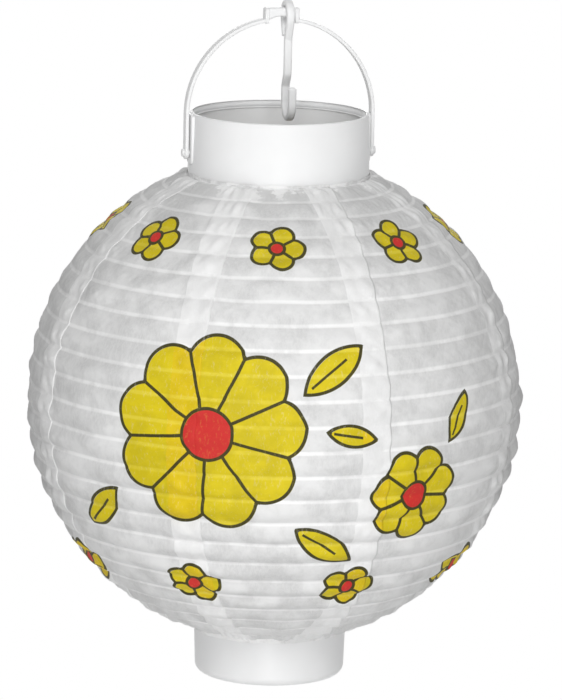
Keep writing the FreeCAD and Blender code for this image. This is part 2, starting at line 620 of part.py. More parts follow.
def switch_housing():
    length, width, height = SWITCH_BODY
    near, far = SWITCH_Y - width / 2, SWITCH_Y + width / 2
    body = block(-length / 2, length / 2, near, far, FLOOR_Z, FLOOR_Z + height)
    room = SWITCH_KNOB_LENGTH / 2 + SWITCH_TRAVEL / 2 + SWITCH_CLEARANCE
    return body.cut(block(
        -room, room, SWITCH_Y - SWITCH_SLOT_WIDTH / 2, SWITCH_Y + SWITCH_SLOT_WIDTH / 2,
        FLOOR_Z, FLOOR_Z + height - SWITCH_HOUSING_TOP))


def switch_slider():
    """Knob in its slot, with three grooves, and a carrier inside the housing."""
    x = -SWITCH_TRAVEL / 2
    half = SWITCH_KNOB_LENGTH / 2
    width = SWITCH_SLOT_WIDTH / 2 - SWITCH_SIDE_GAP
    z0 = FOOT_Z + SWITCH_RECESS
    top = FLOOR_Z + SWITCH_BODY[2] - SWITCH_HOUSING_TOP - SWITCH_TOP_GAP
    knob = block(x - half, x + half, SWITCH_Y - width, SWITCH_Y + width, z0, top)
    cuts = []
    for i in (-1, 0, 1):
        middle = x + SWITCH_GROOVE_PITCH * i
        cuts.append(block(
            middle - SWITCH_GROOVE / 2, middle + SWITCH_GROOVE / 2,
            SWITCH_Y - SWITCH_SLOT_WIDTH, SWITCH_Y + SWITCH_SLOT_WIDTH,
            z0 - SWITCH_GROOVE, z0 + SWITCH_GROOVE))
    return knob.cut(cuts)


def lamp_deck():
    """White plate over the cells, with a raised edge and a seat for the lamp holder."""
    r = CUP_RADIUS - CUP_WALL - DECK_CLEARANCE
    deck = turned([
        (BULB_CAP_RADIUS + DECK_HOLE_ROOM, DECK_Z), (r, DECK_Z), (r, DECK_Z + DECK_THICKNESS + DECK_RIM),
        (r - DECK_RIM_WALL, DECK_Z + DECK_THICKNESS + DECK_RIM), (r - DECK_RIM_WALL, DECK_Z + DECK_THICKNESS),
        (BULB_CAP_RADIUS + DECK_HOLE_ROOM, DECK_Z + DECK_THICKNESS),
    ])
    hole = SCREW_RADIUS + SCREW_CLEARANCE
    below = DECK_Z - SCREW_LENGTH
    holes = [cylinder(hole, 2 * SCREW_LENGTH, V(s * DECK_SCREW_CIRCLE, 0, below)) for s in (-1, 1)]
    return deck.cut(holes)


def deck_screws():
    """Two screws that hold the deck, heads on its top face."""
    top = DECK_Z + DECK_THICKNESS + GLUE_LINE
    slot_z = top + SCREW_HEAD - SCREW_SLOT_DEPTH
    screws = []
    for s in (-1, 1):
        x = s * DECK_SCREW_CIRCLE
        head = cylinder(SCREW_HEAD_RADIUS, SCREW_HEAD, V(x, 0, top))
        shank = cylinder(SCREW_RADIUS, SCREW_LENGTH, V(x, 0, top - SCREW_LENGTH))
        slot = block(
            x - 2 * SCREW_HEAD_RADIUS, x + 2 * SCREW_HEAD_RADIUS, -SCREW_SLOT / 2, SCREW_SLOT / 2,
            slot_z, slot_z + SCREW_HEAD)
        screws.append(head.fuse(shank).cut(slot))
    return screws


def lamp_socket():
    """Round holder on the deck that takes the bulb's screw cap."""
    z = DECK_Z + DECK_THICKNESS + 0.05
    bore = BULB_CAP_RADIUS + 0.15
    return turned([
        (bore, z), (SOCKET_FLANGE_RADIUS, z), (SOCKET_FLANGE_RADIUS, z + SOCKET_FLANGE),
        (bore + SOCKET_WALL + 0.6, z + SOCKET_FLANGE), (bore + SOCKET_WALL, z + SOCKET_HEIGHT),
        (bore, z + SOCKET_HEIGHT),
    ])


def bulb_cap():
    """Threaded metal cap of the bulb, with a soldered tip below."""
    top = DECK_Z + DECK_THICKNESS + SOCKET_HEIGHT + 0.6
    pitch = (BULB_CAP_LENGTH - 2.0) / BULB_THREADS
    wall = [(BULB_CAP_RADIUS, top)]
    for i in range(BULB_THREADS):
        wall.append((BULB_CAP_RADIUS - 0.5, top - pitch * (i + 0.5)))
        wall.append((BULB_CAP_RADIUS, top - pitch * (i + 1)))
    low = top - BULB_CAP_LENGTH
    return turned([(0, low), (1.6, low), (BULB_CAP_RADIUS - 0.8, low + 1.2)] + wall[::-1] + [(0, top)])


def bulb_glass():
    """Small round bulb, hollow, sitting on its cap."""
    base = DECK_Z + DECK_THICKNESS + SOCKET_HEIGHT + 0.65
    ball = base + BULB_GLASS_LENGTH - BULB_GLASS_RADIUS
    angles = [-45, 0, 40, 68]
    def outline(r, neck, lift):
        points = [(neck, lift)]
        for a in angles:
            points.append((r * math.cos(math.radians(a)), ball + r * math.sin(math.radians(a))))
        return points + [(0, ball + r)]
    outer = outline(BULB_GLASS_RADIUS, BULB_CAP_RADIUS - 0.9, base)
    inner = outline(BULB_GLASS_RADIUS - BULB_GLASS_WALL, BULB_CAP_RADIUS - 0.9 - BULB_GLASS_WALL, base + 0.6)
    return turned([(0, base)] + outer + inner[::-1] + [(0, base + 0.6)])


def moved(shapes):
    """Brings a piece, or a list of them, from the globe's middle to the origin."""
    group = shapes if isinstance(shapes, list) else [shapes]
    down = V(0, 0, -ORIGIN_Z)
    solids = []
    for shape in group:
        for solid in shape.Solids:
            copy = solid.copy()
            copy.translate(down)
            solids.append(copy)
    return solids[0] if len(solids) == 1 else Part.makeCompound(solids)


NODES = {
    "bail_handle": bail_handle,
    "hanging_hook": hanging_hook,
    "top_collar": top_collar,
    "paper_gores": paper_gores,
    "wire_hoops": wire_hoops,
    "base_cup": base_cup,
    "battery_door": battery_door,
    "door_screw": door_screw,
    "cell_front": lambda: cell(-1),
    "cell_rear": lambda: cell(1),
    "contact_bridge": contact_bridge,
    "contact_positive": contact_positive,
    "contact_negative": contact_negative,
    "switch_housing": switch_housing,
    "switch_slider": switch_slider,
    "lamp_deck": lamp_deck,
    "deck_screws": deck_screws,
    "lamp_socket": lamp_socket,
    "bulb_cap": bulb_cap,
    "bulb_glass": bulb_glass,
}

os.makedirs("parts", exist_ok=True)
for name, make in NODES.items():
    part = moved(make())
    if not part.isValid():
        print("not valid:", name)
    part.exportStep("parts/" + name + ".step")
    box = part.BoundBox
    print(
        f"{name:18s} solids {len(part.Solids):2d} volume {part.Volume:9.1f}"
        f"  x {box.XMin:7.1f} {box.XMax:7.1f}  y {box.YMin:7.1f} {box.YMax:7.1f}"
        f"  z {box.ZMin:7.1f} {box.ZMax:7.1f}"
    )
print("globe middle z", round(-ORIGIN_Z, 3), "pivot z", round(PIVOT_Z - ORIGIN_Z, 3))
print("hook axis z", round(hook_seat_axis_z() - ORIGIN_Z, 3), "foot z", round(FOOT_Z - ORIGIN_Z, 3))
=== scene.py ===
"""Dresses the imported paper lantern: printed paper gores, wire hoops, bail, hook, collar and base."""

import math

import bmesh
import bpy
import numpy as np
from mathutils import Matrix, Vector


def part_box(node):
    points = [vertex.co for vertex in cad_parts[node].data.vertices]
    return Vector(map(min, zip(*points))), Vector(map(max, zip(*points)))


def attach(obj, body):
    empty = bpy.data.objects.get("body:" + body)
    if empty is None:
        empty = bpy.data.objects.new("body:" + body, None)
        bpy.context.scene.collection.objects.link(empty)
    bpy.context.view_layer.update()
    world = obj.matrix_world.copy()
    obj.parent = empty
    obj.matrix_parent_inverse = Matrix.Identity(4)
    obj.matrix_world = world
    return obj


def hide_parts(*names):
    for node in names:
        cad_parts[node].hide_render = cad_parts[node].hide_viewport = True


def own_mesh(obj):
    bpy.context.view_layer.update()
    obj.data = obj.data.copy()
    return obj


bl_info = {
    "name": "Paper Lantern",
    "version": (1, 0, 0),
    "blender": (4, 5, 0),
    "location": "View3D > Sidebar > Lantern",
    "description": "Builds a round paper lantern's paper, wire and moulded pieces",
    "category": "Add Mesh",
}

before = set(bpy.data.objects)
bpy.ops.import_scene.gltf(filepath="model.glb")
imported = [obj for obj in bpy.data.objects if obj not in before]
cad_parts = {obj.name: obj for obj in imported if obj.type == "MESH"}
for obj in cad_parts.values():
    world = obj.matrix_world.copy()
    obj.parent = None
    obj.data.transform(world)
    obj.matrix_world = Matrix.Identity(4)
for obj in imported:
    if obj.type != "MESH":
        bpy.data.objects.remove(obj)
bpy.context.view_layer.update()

MM = 0.001
TAU = 2 * math.pi

# Places read from the frame, in millimetres
RIM_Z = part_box("top_collar")[1].z / MM
COLLAR_LOW_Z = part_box("top_collar")[0].z / MM
SEAT_TOP_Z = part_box("bail_handle")[1].z / MM
HOOK_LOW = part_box("hanging_hook")[0] / MM
HOOK_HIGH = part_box("hanging_hook")[1] / MM
PAPER_TOP_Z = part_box("paper_gores")[1].z / MM

# The side of the lantern that the photograph shows, as a turn about Z from +X
FRONT = math.radians(-103.0)

# Share of a lamp's light that passes each of the two faces of a sheet of paper
LIGHT_THROUGH_FACE = 0.6

# Rows of the paper's grid on a hem and on a band, and its columns on a gore
HEM_ROWS, BAND_ROWS, GORE_COLUMNS = 7, 12, 96

# Waves in the paper: seed, least and most waves round the globe, least and most up it
BILLOW = (3, (3, 22), (0.5, 9))
PUCKER = (5, (30, 90), (2, 12))
FINE = (9, (40, 150), (6, 30))
CRUMPLE = (13, (10, 46), (10, 40))
TRIM = (21, (5, 26), (0, 0.1))
CURL_SEED, CURL_ROUND, CURL_UP = 17, (1, 2), (6, 20)


class LanternSizes(bpy.types.PropertyGroup):
    """Sizes of the globe's paper and wire"""
    globe_radius: bpy.props.FloatProperty(
        name="Globe radius", description="Over the crests of the paper bands, mm", default=99.9, min=20)
    flattening: bpy.props.FloatProperty(
        name="Flattening", description="Height of the globe over its width", default=0.988, min=0.5, max=1.5)
    bands: bpy.props.IntProperty(name="Bands", description="Paper bands between hoops", default=24, min=4)
    bulge: bpy.props.FloatProperty(
        name="Band bulge", description="How far a band puffs out past its hoops, mm", default=1.2, min=0)
    gores: bpy.props.IntProperty(name="Gores", description="Pasted strips round the globe", default=8, min=3)
    lap: bpy.props.FloatProperty(
        name="Lap", description="Width of a pasted seam, mm", default=12.0, min=1)
    seam_phase: bpy.props.FloatProperty(
        name="First seam", description="Turn from +X to it", default=math.radians(11), subtype="ANGLE")
    top_neck: bpy.props.FloatProperty(
        name="Top neck radius", description="Paper round the collar, mm", default=36.75, min=5)
    low_neck: bpy.props.FloatProperty(
        name="Low neck radius", description="Paper round the cup, mm", default=31.25, min=5)
    hem: bpy.props.FloatProperty(
        name="Hem", description="Paper pasted on the collar and the cup, mm", default=2.8, min=0.5)
    shown_hem: bpy.props.FloatProperty(
        name="Shown hem", description="Height of the trimmed hem on the collar, mm", default=1.3, min=0.5)
    paper: bpy.props.FloatProperty(name="Paper", description="Thickness, mm", default=0.12, min=0.02)
    wire: bpy.props.FloatProperty(name="Wire", description="Hoop wire's diameter, mm", default=0.9, min=0.2)


class LanternColours(bpy.types.PropertyGroup):
    """Colours of the paper, its inks and the plastic"""
    paper_grey: bpy.props.FloatVectorProperty(
        name="Thin paper", description="One sheet between the hoops", subtype="COLOR", size=3,
        min=0, max=1, default=(0.775, 0.775, 0.772))
    paper_white: bpy.props.FloatVectorProperty(
        name="Double paper", description="Seams, hems and creases", subtype="COLOR", size=3,
        min=0, max=1, default=(0.93, 0.93, 0.927))
    yellow: bpy.props.FloatVectorProperty(
        name="Yellow ink", description="Blossoms and leaves", subtype="COLOR", size=3,
        min=0, max=1, default=(0.70, 0.56, 0.008))
    red: bpy.props.FloatVectorProperty(
        name="Red ink", description="Blossom hearts", subtype="COLOR", size=3,
        min=0, max=1, default=(0.6, 0.03, 0.026))
    outline: bpy.props.FloatVectorProperty(
        name="Outline ink", description="Drawn lines", subtype="COLOR", size=3,
        min=0, max=1, default=(0.045, 0.04, 0.008))
    plastic: bpy.props.FloatVectorProperty(
        name="White plastic", description="Collar, cup, bail and hook", subtype="COLOR", size=3,
        min=0, max=1, default=(0.88, 0.883, 0.885))


def sizes():
    return bpy.context.scene.lantern_sizes


def colours():
    return bpy.context.scene.lantern_colours


# Surfaces

def grid_object(name, points, around=False, along=False, caps=False, flip=False):
    """Mesh from a grid of points (row, column, xyz) in mm: each cell of four neighbours is one face.
    around joins the last column to the first, along joins the last row to the first, and caps closes the
    first and last rows with a fan to their middle."""
    rows, cols = points.shape[:2]
    index = np.arange(rows * cols).reshape(rows, cols)
    i = index if along else index[:-1]
    below = np.roll(index, -1, axis=0) if along else index[1:]
    if around:
        quads = [i, np.roll(i, -1, axis=1), np.roll(below, -1, axis=1), below]
    else:
        quads = [i[:, :-1], i[:, 1:], below[:, 1:], below[:, :-1]]
    vertices = points.reshape(-1, 3) * MM
    faces = np.stack(quads, axis=-1).reshape(-1, 4).tolist()
    if caps:
        first = vertices[index[0]].mean(axis=0)
        last = vertices[index[-1]].mean(axis=0)
        vertices = np.vstack([vertices, first, last])
        hub = np.full(cols, rows * cols)
        faces += np.stack([hub, np.roll(index[0], -1), index[0]], axis=-1).tolist()
        faces += np.stack([hub + 1, index[-1], np.roll(index[-1], -1)], axis=-1).tolist()
    if flip:
        faces = [face[::-1] for face in faces]
    mesh = bpy.data.meshes.new(name)
    mesh.from_pydata(vertices.tolist(), [], faces)
    mesh.polygons.foreach_set("use_smooth", np.ones(len(mesh.polygons), bool))
    mesh.update()
    obj = bpy.data.objects.new(name, mesh)
    bpy.context.scene.collection.objects.link(obj)
    return obj


def merge(name, objects):
    """One object from several closed ones, with its normals turned outwards."""
    work = bmesh.new()
    for obj in objects:
        work.from_mesh(obj.data)
        bpy.data.objects.remove(obj)
    bmesh.ops.recalc_face_normals(work, faces=work.faces)
    mesh = bpy.data.meshes.new(name)
    work.to_mesh(mesh)
    work.free()
    mesh.polygons.foreach_set("use_smooth", np.ones(len(mesh.polygons), bool))
    merged = bpy.data.objects.new(name, mesh)
    bpy.context.scene.collection.objects.link(merged)
    return merged


def give(obj, name, values):
    """Stores one number per vertex for the materials."""
    stored = obj.data.attributes.new(name, "FLOAT", "POINT").data
    stored.foreach_set("value", values.astype(np.float32).ravel())


def arc(centre, radius, start, end, step):
    """Points (a, b) on a circle from one angle to the other, in degrees."""
    count = max(2, int(abs(end - start) / step) + 1)
    t = np.radians(np.linspace(start, end, count))
    return np.stack([centre[0] + radius * np.cos(t), centre[1] + radius * np.sin(t)], axis=-1)


def rounded_path(corners, radius, step=4.0):
    """Flat path through corner points, each inner corner replaced by an arc that touches both sides."""
    corners = [np.array(c, float) for c in corners]
    path = [corners[0]]
    for before, corner, after in zip(corners, corners[1:], corners[2:]):
        back = (before - corner) / np.linalg.norm(before - corner)
        ahead = (after - corner) / np.linalg.norm(after - corner)
        half = math.acos(np.clip(back @ ahead, -1, 1)) / 2
        turn = math.pi / 2 - half
        middle = (back + ahead) / np.linalg.norm(back + ahead)
        centre = corner + middle * radius / math.sin(half)
        start = corner + back * radius * math.tan(turn)
        count = max(3, int(math.degrees(2 * turn) / step) + 1)
        first = start - centre
        sign = math.copysign(1, first[0] * ahead[1] - first[1] * ahead[0])
        for s in np.linspace(0, 2 * turn, count) * sign:
            c, n = math.cos(s), math.sin(s)
            path.append(centre + np.array([c * first[0] - n * first[1], n * first[0] + c * first[1]]))
    path.append(corners[-1])
    return np.array(path)


def respaced(path, step):
    """The same path with its points a given distance apart."""
    runs = np.concatenate([[0], np.cumsum(np.linalg.norm(np.diff(path, axis=0), axis=1))])
    count = max(2, int(runs[-1] / step) + 1)
    at = np.linspace(0, runs[-1], count)
    return np.stack([np.interp(at, runs, path[:, k]) for k in range(path.shape[1])], axis=-1)


def superellipse(count, power):
    """Points (a, b) round a rounded square: the cosine and sine with their size raised to a power."""
    t = np.linspace(0, TAU, count, endpoint=False)
    return (np.sign(wave) * np.abs(wave) ** power for wave in (np.cos(t), np.sin(t)))


def bar_points(path, across, half_w, half_t, corner, round_ends, sides=32):
    """Grid of a bar carried along a path: its section is a superellipse, |a|^corner + |b|^corner = 1,
    half_w wide each way along the fixed direction across, and half_t thick each way square to it. Over the
    length round_ends the section closes as a quarter of an ellipse."""
    path = np.asarray(path, float)
    tangent = np.gradient(path, axis=0)
    tangent /= np.linalg.norm(tangent, axis=1, keepdims=True)
    across = np.asarray(across, float)
    up = np.cross(tangent, across)
    up /= np.linalg.norm(up, axis=1, keepdims=True)
    runs = np.concatenate([[0], np.cumsum(np.linalg.norm(np.diff(path, axis=0), axis=1))])
    to_end = np.minimum(runs, runs[-1] - runs)
    share = np.clip(to_end / round_ends, 0, 1)
    close = np.maximum(np.sqrt(1 - (1 - share) ** 2), 0.02)
    a, b = superellipse(sides, 2 / corner)
    shrink = min(half_w, half_t) * (1 - close)
    wide = (half_w - shrink)[:, None] * a[None, :]
    high = (half_t - shrink)[:, None] * b[None, :]
    return path[:, None, :] + wide[..., None] * across + high[..., None] * up[:, None, :]


def turned_points(profile, steps, middle=(0, 0, 0), axis="Z"):
    """Grid of a closed profile (radius, height) turned about an axis through a point."""
    profile = np.asarray(profile, float)
    t = np.linspace(0, TAU, steps, endpoint=False)
    r, h = profile[:, 0][:, None], profile[:, 1][:, None]
    x, y, z = r * np.cos(t), r * np.sin(t), h + 0 * t
    grid = np.stack([x, y, z] if axis == "Z" else [z, x, y], axis=-1)
    return grid + np.asarray(middle, float)


def rounded_profile(corners):
    """Closed profile from (radius, height, rounding) corners, each rounded by an arc."""
    points = []
    count = len(corners)
    for i in range(count):
        before, corner, after = corners[i - 1], corners[i], corners[(i + 1) % count]
        p, q, s = (np.array(c[:2], float) for c in (before, corner, after))
        if corner[2] <= 0:
            points.append(q)
            continue
        back = (p - q) / np.linalg.norm(p - q)
        ahead = (s - q) / np.linalg.norm(s - q)
        half = math.acos(np.clip(back @ ahead, -1, 1)) / 2
        reach = corner[2] / math.tan(half)
        piece = rounded_path([q + back * reach * 1.001, q, q + ahead * reach * 1.001], corner[2], 15)
        points.extend(piece[1:-1])
    return np.array(points)


def ripples(angle, height, seed, around, up, count=14):
    """Even random waves: a sum of sines with whole numbers of waves round Z, about one unit high."""
    rng = np.random.default_rng(seed)
    total = np.zeros(np.broadcast(angle, height).shape)
    for _ in range(count):
        n = rng.integers(around[0], around[1] + 1)
        k = rng.uniform(up[0], up[1]) * rng.choice([-1, 1])
        total += np.sin(n * angle + TAU * k * height + rng.uniform(0, TAU))
    return total / math.sqrt(count / 2)


# Globe

def neck_angles():
    line = sizes().globe_radius - sizes().bulge
    return math.acos(sizes().top_neck / line), -math.acos(sizes().low_neck / line)


def globe_middle():
    """Height of the globe's middle, from the lines where paper meets collar."""
    line = (sizes().globe_radius - sizes().bulge) * sizes().flattening
    return PAPER_TOP_Z - sizes().hem - line * math.sin(neck_angles()[0])


def crease_lines():
    """Radius and height of each line where a band ends, on the globe's ellipse at even angles."""
    top, low = neck_angles()
    t = np.linspace(top, low, sizes().bands + 1)
    line = sizes().globe_radius - sizes().bulge
    return np.stack([line * np.cos(t), globe_middle() + line * sizes().flattening * np.sin(t)], axis=-1)


def paper_profile():
    """Rows down the paper: radius, height, outward direction and place in the band, 0 at a crease and 1 at
    the next. A band runs straight from crease to crease; its bulge is added later along the outward
    direction. The hems run straight up the collar and down the cup."""
    lines = crease_lines()
    s = np.linspace(0, 1, BAND_ROWS, endpoint=False)
    start, end = lines[:-1, None, :], lines[1:, None, :]
    band = (start + (end - start) * s[None, :, None]).reshape(-1, 2)
    run = lines[1:] - lines[:-1]
    out = np.stack([-run[:, 1], run[:, 0]], axis=-1) / np.linalg.norm(run, axis=1, keepdims=True)
    out = np.repeat(out, BAND_ROWS, axis=0)
    place = np.tile(s, sizes().bands)
    up = np.linspace(sizes().shown_hem, 0, HEM_ROWS, endpoint=False)
    down = np.linspace(0, sizes().hem, HEM_ROWS + 1)
    top = np.stack([0 * up + lines[0, 0], lines[0, 1] + up], axis=-1)
    low = np.stack([0 * down + lines[-1, 0], lines[-1, 1] - down], axis=-1)
    base = np.vstack([top, band, low])
    side = np.array([[1.0, 0.0]])
    outward = np.vstack([np.repeat(side, len(up), 0), out, np.repeat(side, len(down), 0)])
    place = np.concatenate([0 * up, place, 0 * down])
    band_length = np.linalg.norm(run, axis=1).mean()
    return base, outward, place, band_length


def gore_grid(number):
    """Surface of one gore, column by column from its left edge to its right edge. Each band puffs out as
    bulge times 1 - |2s - 1|^1.8, uneven round the globe and slacker in its lower half; near a seam the paper
    puckers; the right edge lies on the next gore, raised by the paper's thickness."""
    base, outward, place, band_length = paper_profile()
    lap = sizes().lap
    share = TAU / sizes().gores
    radius = base[:, 0][:, None]
    half_lap = lap / 2 / radius
    u = np.linspace(0, 1, GORE_COLUMNS)[None, :]
    left = sizes().seam_phase + share * number - half_lap
    angle = left + u * (share + 2 * half_lap)
    height = base[:, 1][:, None] + 0 * angle
    up = (height - globe_middle()) / sizes().globe_radius
    inside = np.clip((1 - np.abs(2 * place - 1) ** 1.8), 0, 1)[:, None]
    from_left = (angle - left) * radius
    from_right = (left + share + 2 * half_lap - angle) * radius
    to_seam = np.minimum(np.abs(from_left - lap / 2), np.abs(from_right - lap / 2))
    pucker_reach, top_sag, more_sag, sag_start, sag_span = 9.0, 0.6, 0.66, 0.55, 0.9
    near_seam = np.exp(-(to_seam / pucker_reach) ** 2)
    sag = np.clip((sag_start - up) / sag_span, 0, 1)
    sag = top_sag + more_sag * sag * sag * (3 - 2 * sag)
    pucker = near_seam * (0.1 + 0.2 * ripples(angle, up, *PUCKER))
    slack = np.clip(sag + 0.3 * ripples(angle, up, *BILLOW) + pucker, 0.2, 1.8)
    fine = 0.05 * ripples(angle, up, *FINE)
    top_line, low_line = base[HEM_ROWS, 1], base[-HEM_ROWS - 1, 1]
    on_hem = np.maximum(height - top_line, low_line - height)
    neck = np.exp(-np.abs(on_hem) / np.where(on_hem > 0, 0.5, 3.5))
    crumple = neck * (0.11 * ripples(angle, up, *CRUMPLE) + 0.06)
    lift = sizes().paper * 1.05 * np.clip((lap + 1.0 - from_right) / 1.0, 0, 1)
    curl = 1 + ripples(angle * 0 + 1.0, up, CURL_SEED + number, CURL_ROUND, CURL_UP)
    edge_curl = 0.03 * np.exp(-from_right / 1.2) * curl
    out = sizes().bulge * inside * slack + fine * inside + crumple + lift + edge_curl
    r = radius + outward[:, 0][:, None] * out
    z = height + outward[:, 1][:, None] * out
    trim = 0.12 * ripples(angle, 0 * up, *TRIM)
    z[0] += trim[0]
    z[-1] += trim[-1]
    grid = np.stack([r * np.cos(angle), r * np.sin(angle), z], axis=-1)
    crease = np.minimum(place, 1 - place)[:, None] * band_length + 0 * angle
    no_wire = 4.0
    crease[:HEM_ROWS] = no_wire
    crease[-HEM_ROWS:] = no_wire
    double = np.maximum(lap - from_left, lap - from_right)
    return grid, {"crease": crease, "double": double, "hem": on_hem, "neck": top_line - height}


# Printed design: every shape is a signed distance in mm, above 0 inside

def local_point(grid, turn, tilt):
    """Places on the globe as seen from straight over one spot, x to the right and y up, in mm."""
    a = FRONT + math.radians(turn)
    b = math.radians(tilt)
    p = grid - np.array([0, 0, globe_middle()])
    over = np.array([math.cos(a) * math.cos(b), math.sin(a) * math.cos(b), math.sin(b)])
    east = np.array([-math.sin(a), math.cos(a), 0])
    north = np.cross(over, east)
    facing_least, out_of_reach = 20.0, 999.0
    near = p @ over > facing_least
    return np.where(near, p @ east, out_of_reach), np.where(near, p @ north, out_of_reach)


def rotated(x, y, degrees):
    c, s = math.cos(math.radians(degrees)), math.sin(math.radians(degrees))
    return c * x + s * y, c * y - s * x


def blossom(x, y, petals, reach, width, heart, turn):
    """Round petals set in a ring about a heart. Returns the distance inside the joint edge and inside the
    heart, and the offset from the nearest line between two petals, 2 r sin(n t / 2) / n, which is nought on
    those lines alone."""
    x, y = rotated(x, y, turn)
    ring = reach - width
    away = np.hypot(x, y)
    around = np.arctan2(y, x) + math.pi
    t = (np.arange(petals) + 0.5) * TAU / petals + math.pi
    each = [width - np.hypot(x - ring * math.cos(a), y - ring * math.sin(a)) for a in t]
    fill = np.max(np.stack(each + [ring - away]), axis=0)
    split = 2 * away * np.sin(petals * around / 2) / petals
    return fill, heart - away, split


def leaf(x, y, length, width, turn):
    """Pointed leaf where two equal discs overlap. Returns the distance inside its edge, the offset from its
    middle vein and how far a point lies within the vein's ends."""
    x, y = rotated(x, y, turn)
    radius = (length ** 2 + width ** 2) / (4 * width)
    offset = radius - width / 2
    fill = np.minimum(radius - np.hypot(x, y - offset), radius - np.hypot(x, y + offset))
    return fill, y, length * 0.3 - np.abs(x + length * 0.08)


# turn and tilt of the spot in degrees, petals, reach, petal radius, heart, own turn
FACE_BLOSSOMS = (
    (-15, 2, 9, 38.0, 11.7, 10.2, 6),
    (35, -13, 7, 19.5, 7.0, 5.6, 18),
)
# petals, reach, petal radius, heart
RING_BLOSSOM = (5, 11.0, 4.6, 3.0)
# tilt of the ring, first turn in degrees
RINGS = ((47, 0.0), (-38, 22.5))
RING_COUNT = 8
# turn and tilt of the spot, length, width, own turn
FACE_LEAVES = (
    (14, 17, 30.0, 12.0, 38),
    (13, -25, 28.0, 11.5, -34),
    (18, 2, 20.0, 8.0, -10),
    (47, 4, 21.0, 8.5, 62),
    (-45, -19, 27.0, 11.0, 44),
)
FACES = (0, 180)


def blossoms():
    """Large and middle blossoms on two opposite faces, and small ones evenly set in two level rings."""
    faces = [(turn + face, *rest) for face in FACES for turn, *rest in FACE_BLOSSOMS]
    step = 360 / RING_COUNT
    places = [(k, tilt, first) for tilt, first in RINGS for k in range(RING_COUNT)]
    rings = [(first + step * k, tilt, *RING_BLOSSOM, 11 * k) for k, tilt, first in places]
    return faces + rings


def leaves():
    """The leaves of both faces."""
    return [(turn + face, *rest) for face in FACES for turn, *rest in FACE_LEAVES]


def printed_design(grid, fill_shift=(0.55, -0.45), margin=3.0):
    """All motifs on one gore: edges, hearts, petal lines and veins for the outline ink, and the same fills a
    little off them for the colours."""
    unprinted = -9.0
    far = np.full(grid.shape[:2], unprinted)
    marks = {name: far.copy() for name in ("edge", "heart_edge", "fill", "heart", "vein_reach")}
    marks["split"] = -far
    marks["vein"] = -far
    for turn, tilt, petals, reach, width, middle, own in blossoms():
        x, y = local_point(grid, turn, tilt)
        edge, heart, split = blossom(x, y, petals, reach, width, middle, own)
        marks["edge"] = np.maximum(marks["edge"], edge)
        marks["heart_edge"] = np.maximum(marks["heart_edge"], heart)
        marks["split"] = np.where(edge > -margin, split, marks["split"])
        edge, heart, split = blossom(x - fill_shift[0], y - fill_shift[1], petals, reach, width, middle, own)
        marks["fill"] = np.maximum(marks["fill"], edge)
        marks["heart"] = np.maximum(marks["heart"], heart)
    for turn, tilt, length, width, own in leaves():
        x, y = local_point(grid, turn, tilt)
        edge, vein, vein_reach = leaf(x, y, length, width, own)
        marks["edge"] = np.maximum(marks["edge"], edge)
        marks["vein"] = np.where(edge > -margin, vein, marks["vein"])
        marks["vein_reach"] = np.where(edge > -margin, vein_reach, marks["vein_reach"])
        edge = leaf(x - fill_shift[0], y - fill_shift[1], length, width, own)[0]
        marks["fill"] = np.maximum(marks["fill"], edge)
    return marks


# Materials

class Nodes:
    """Short way to place and join shader nodes in one tree."""

    def __init__(self, tree):
        self.tree = tree
        self.tree.nodes.clear()

    def feed(self, socket, value):
        if isinstance(value, bpy.types.NodeSocket):
            self.tree.links.new(value, socket)
        else:
            socket.default_value = value

    def add(self, kind, settings=None, **inputs):
        node = self.tree.nodes.new(kind)
        for key, value in (settings or {}).items():
            setattr(node, key, value)
        for key, value in inputs.items():
            by_number = key[0] == "i" and key[1:].isdigit()
            self.feed(node.inputs[int(key[1:]) if by_number else key.replace("_", " ")], value)
        return node

    def mix(self, factor, a, b):
        node = self.add("ShaderNodeMix", {"data_type": "RGBA"})
        for number, value in ((0, factor), (6, a), (7, b)):
            self.feed(node.inputs[number], value)
        return node.outputs[2]

    def math(self, operation, a, b=0.0, clamp=False):
        return self.add("ShaderNodeMath", {"operation": operation, "use_clamp": clamp}, i0=a, i1=b).outputs[0]

    def ramp(self, value, low, high, to_low=0.0, to_high=1.0, smooth=True):
        kind = {"interpolation_type": "SMOOTHSTEP"} if smooth else {}
        return self.add(
            "ShaderNodeMapRange", kind, i0=value, i1=low, i2=high, i3=to_low, i4=to_high).outputs[0]

    def attribute(self, name):
        return self.add("ShaderNodeAttribute", {"attribute_name": name}).outputs["Fac"]


def node_group(name, inputs, outputs):
    """New shader group with (name, kind, default) inputs and (name, kind) outputs."""
    group = bpy.data.node_groups.new(name, "ShaderNodeTree")
    for label, kind, default in inputs:
        socket = group.interface.new_socket(label, in_out="INPUT", socket_type=kind)
        socket.default_value = default
    for label, kind in outputs:
        group.interface.new_socket(label, in_out="OUTPUT", socket_type=kind)
    nodes = Nodes(group)
    entry = nodes.add("NodeGroupInput")
    leave = nodes.add("NodeGroupOutput")
    return group, nodes, entry, leave


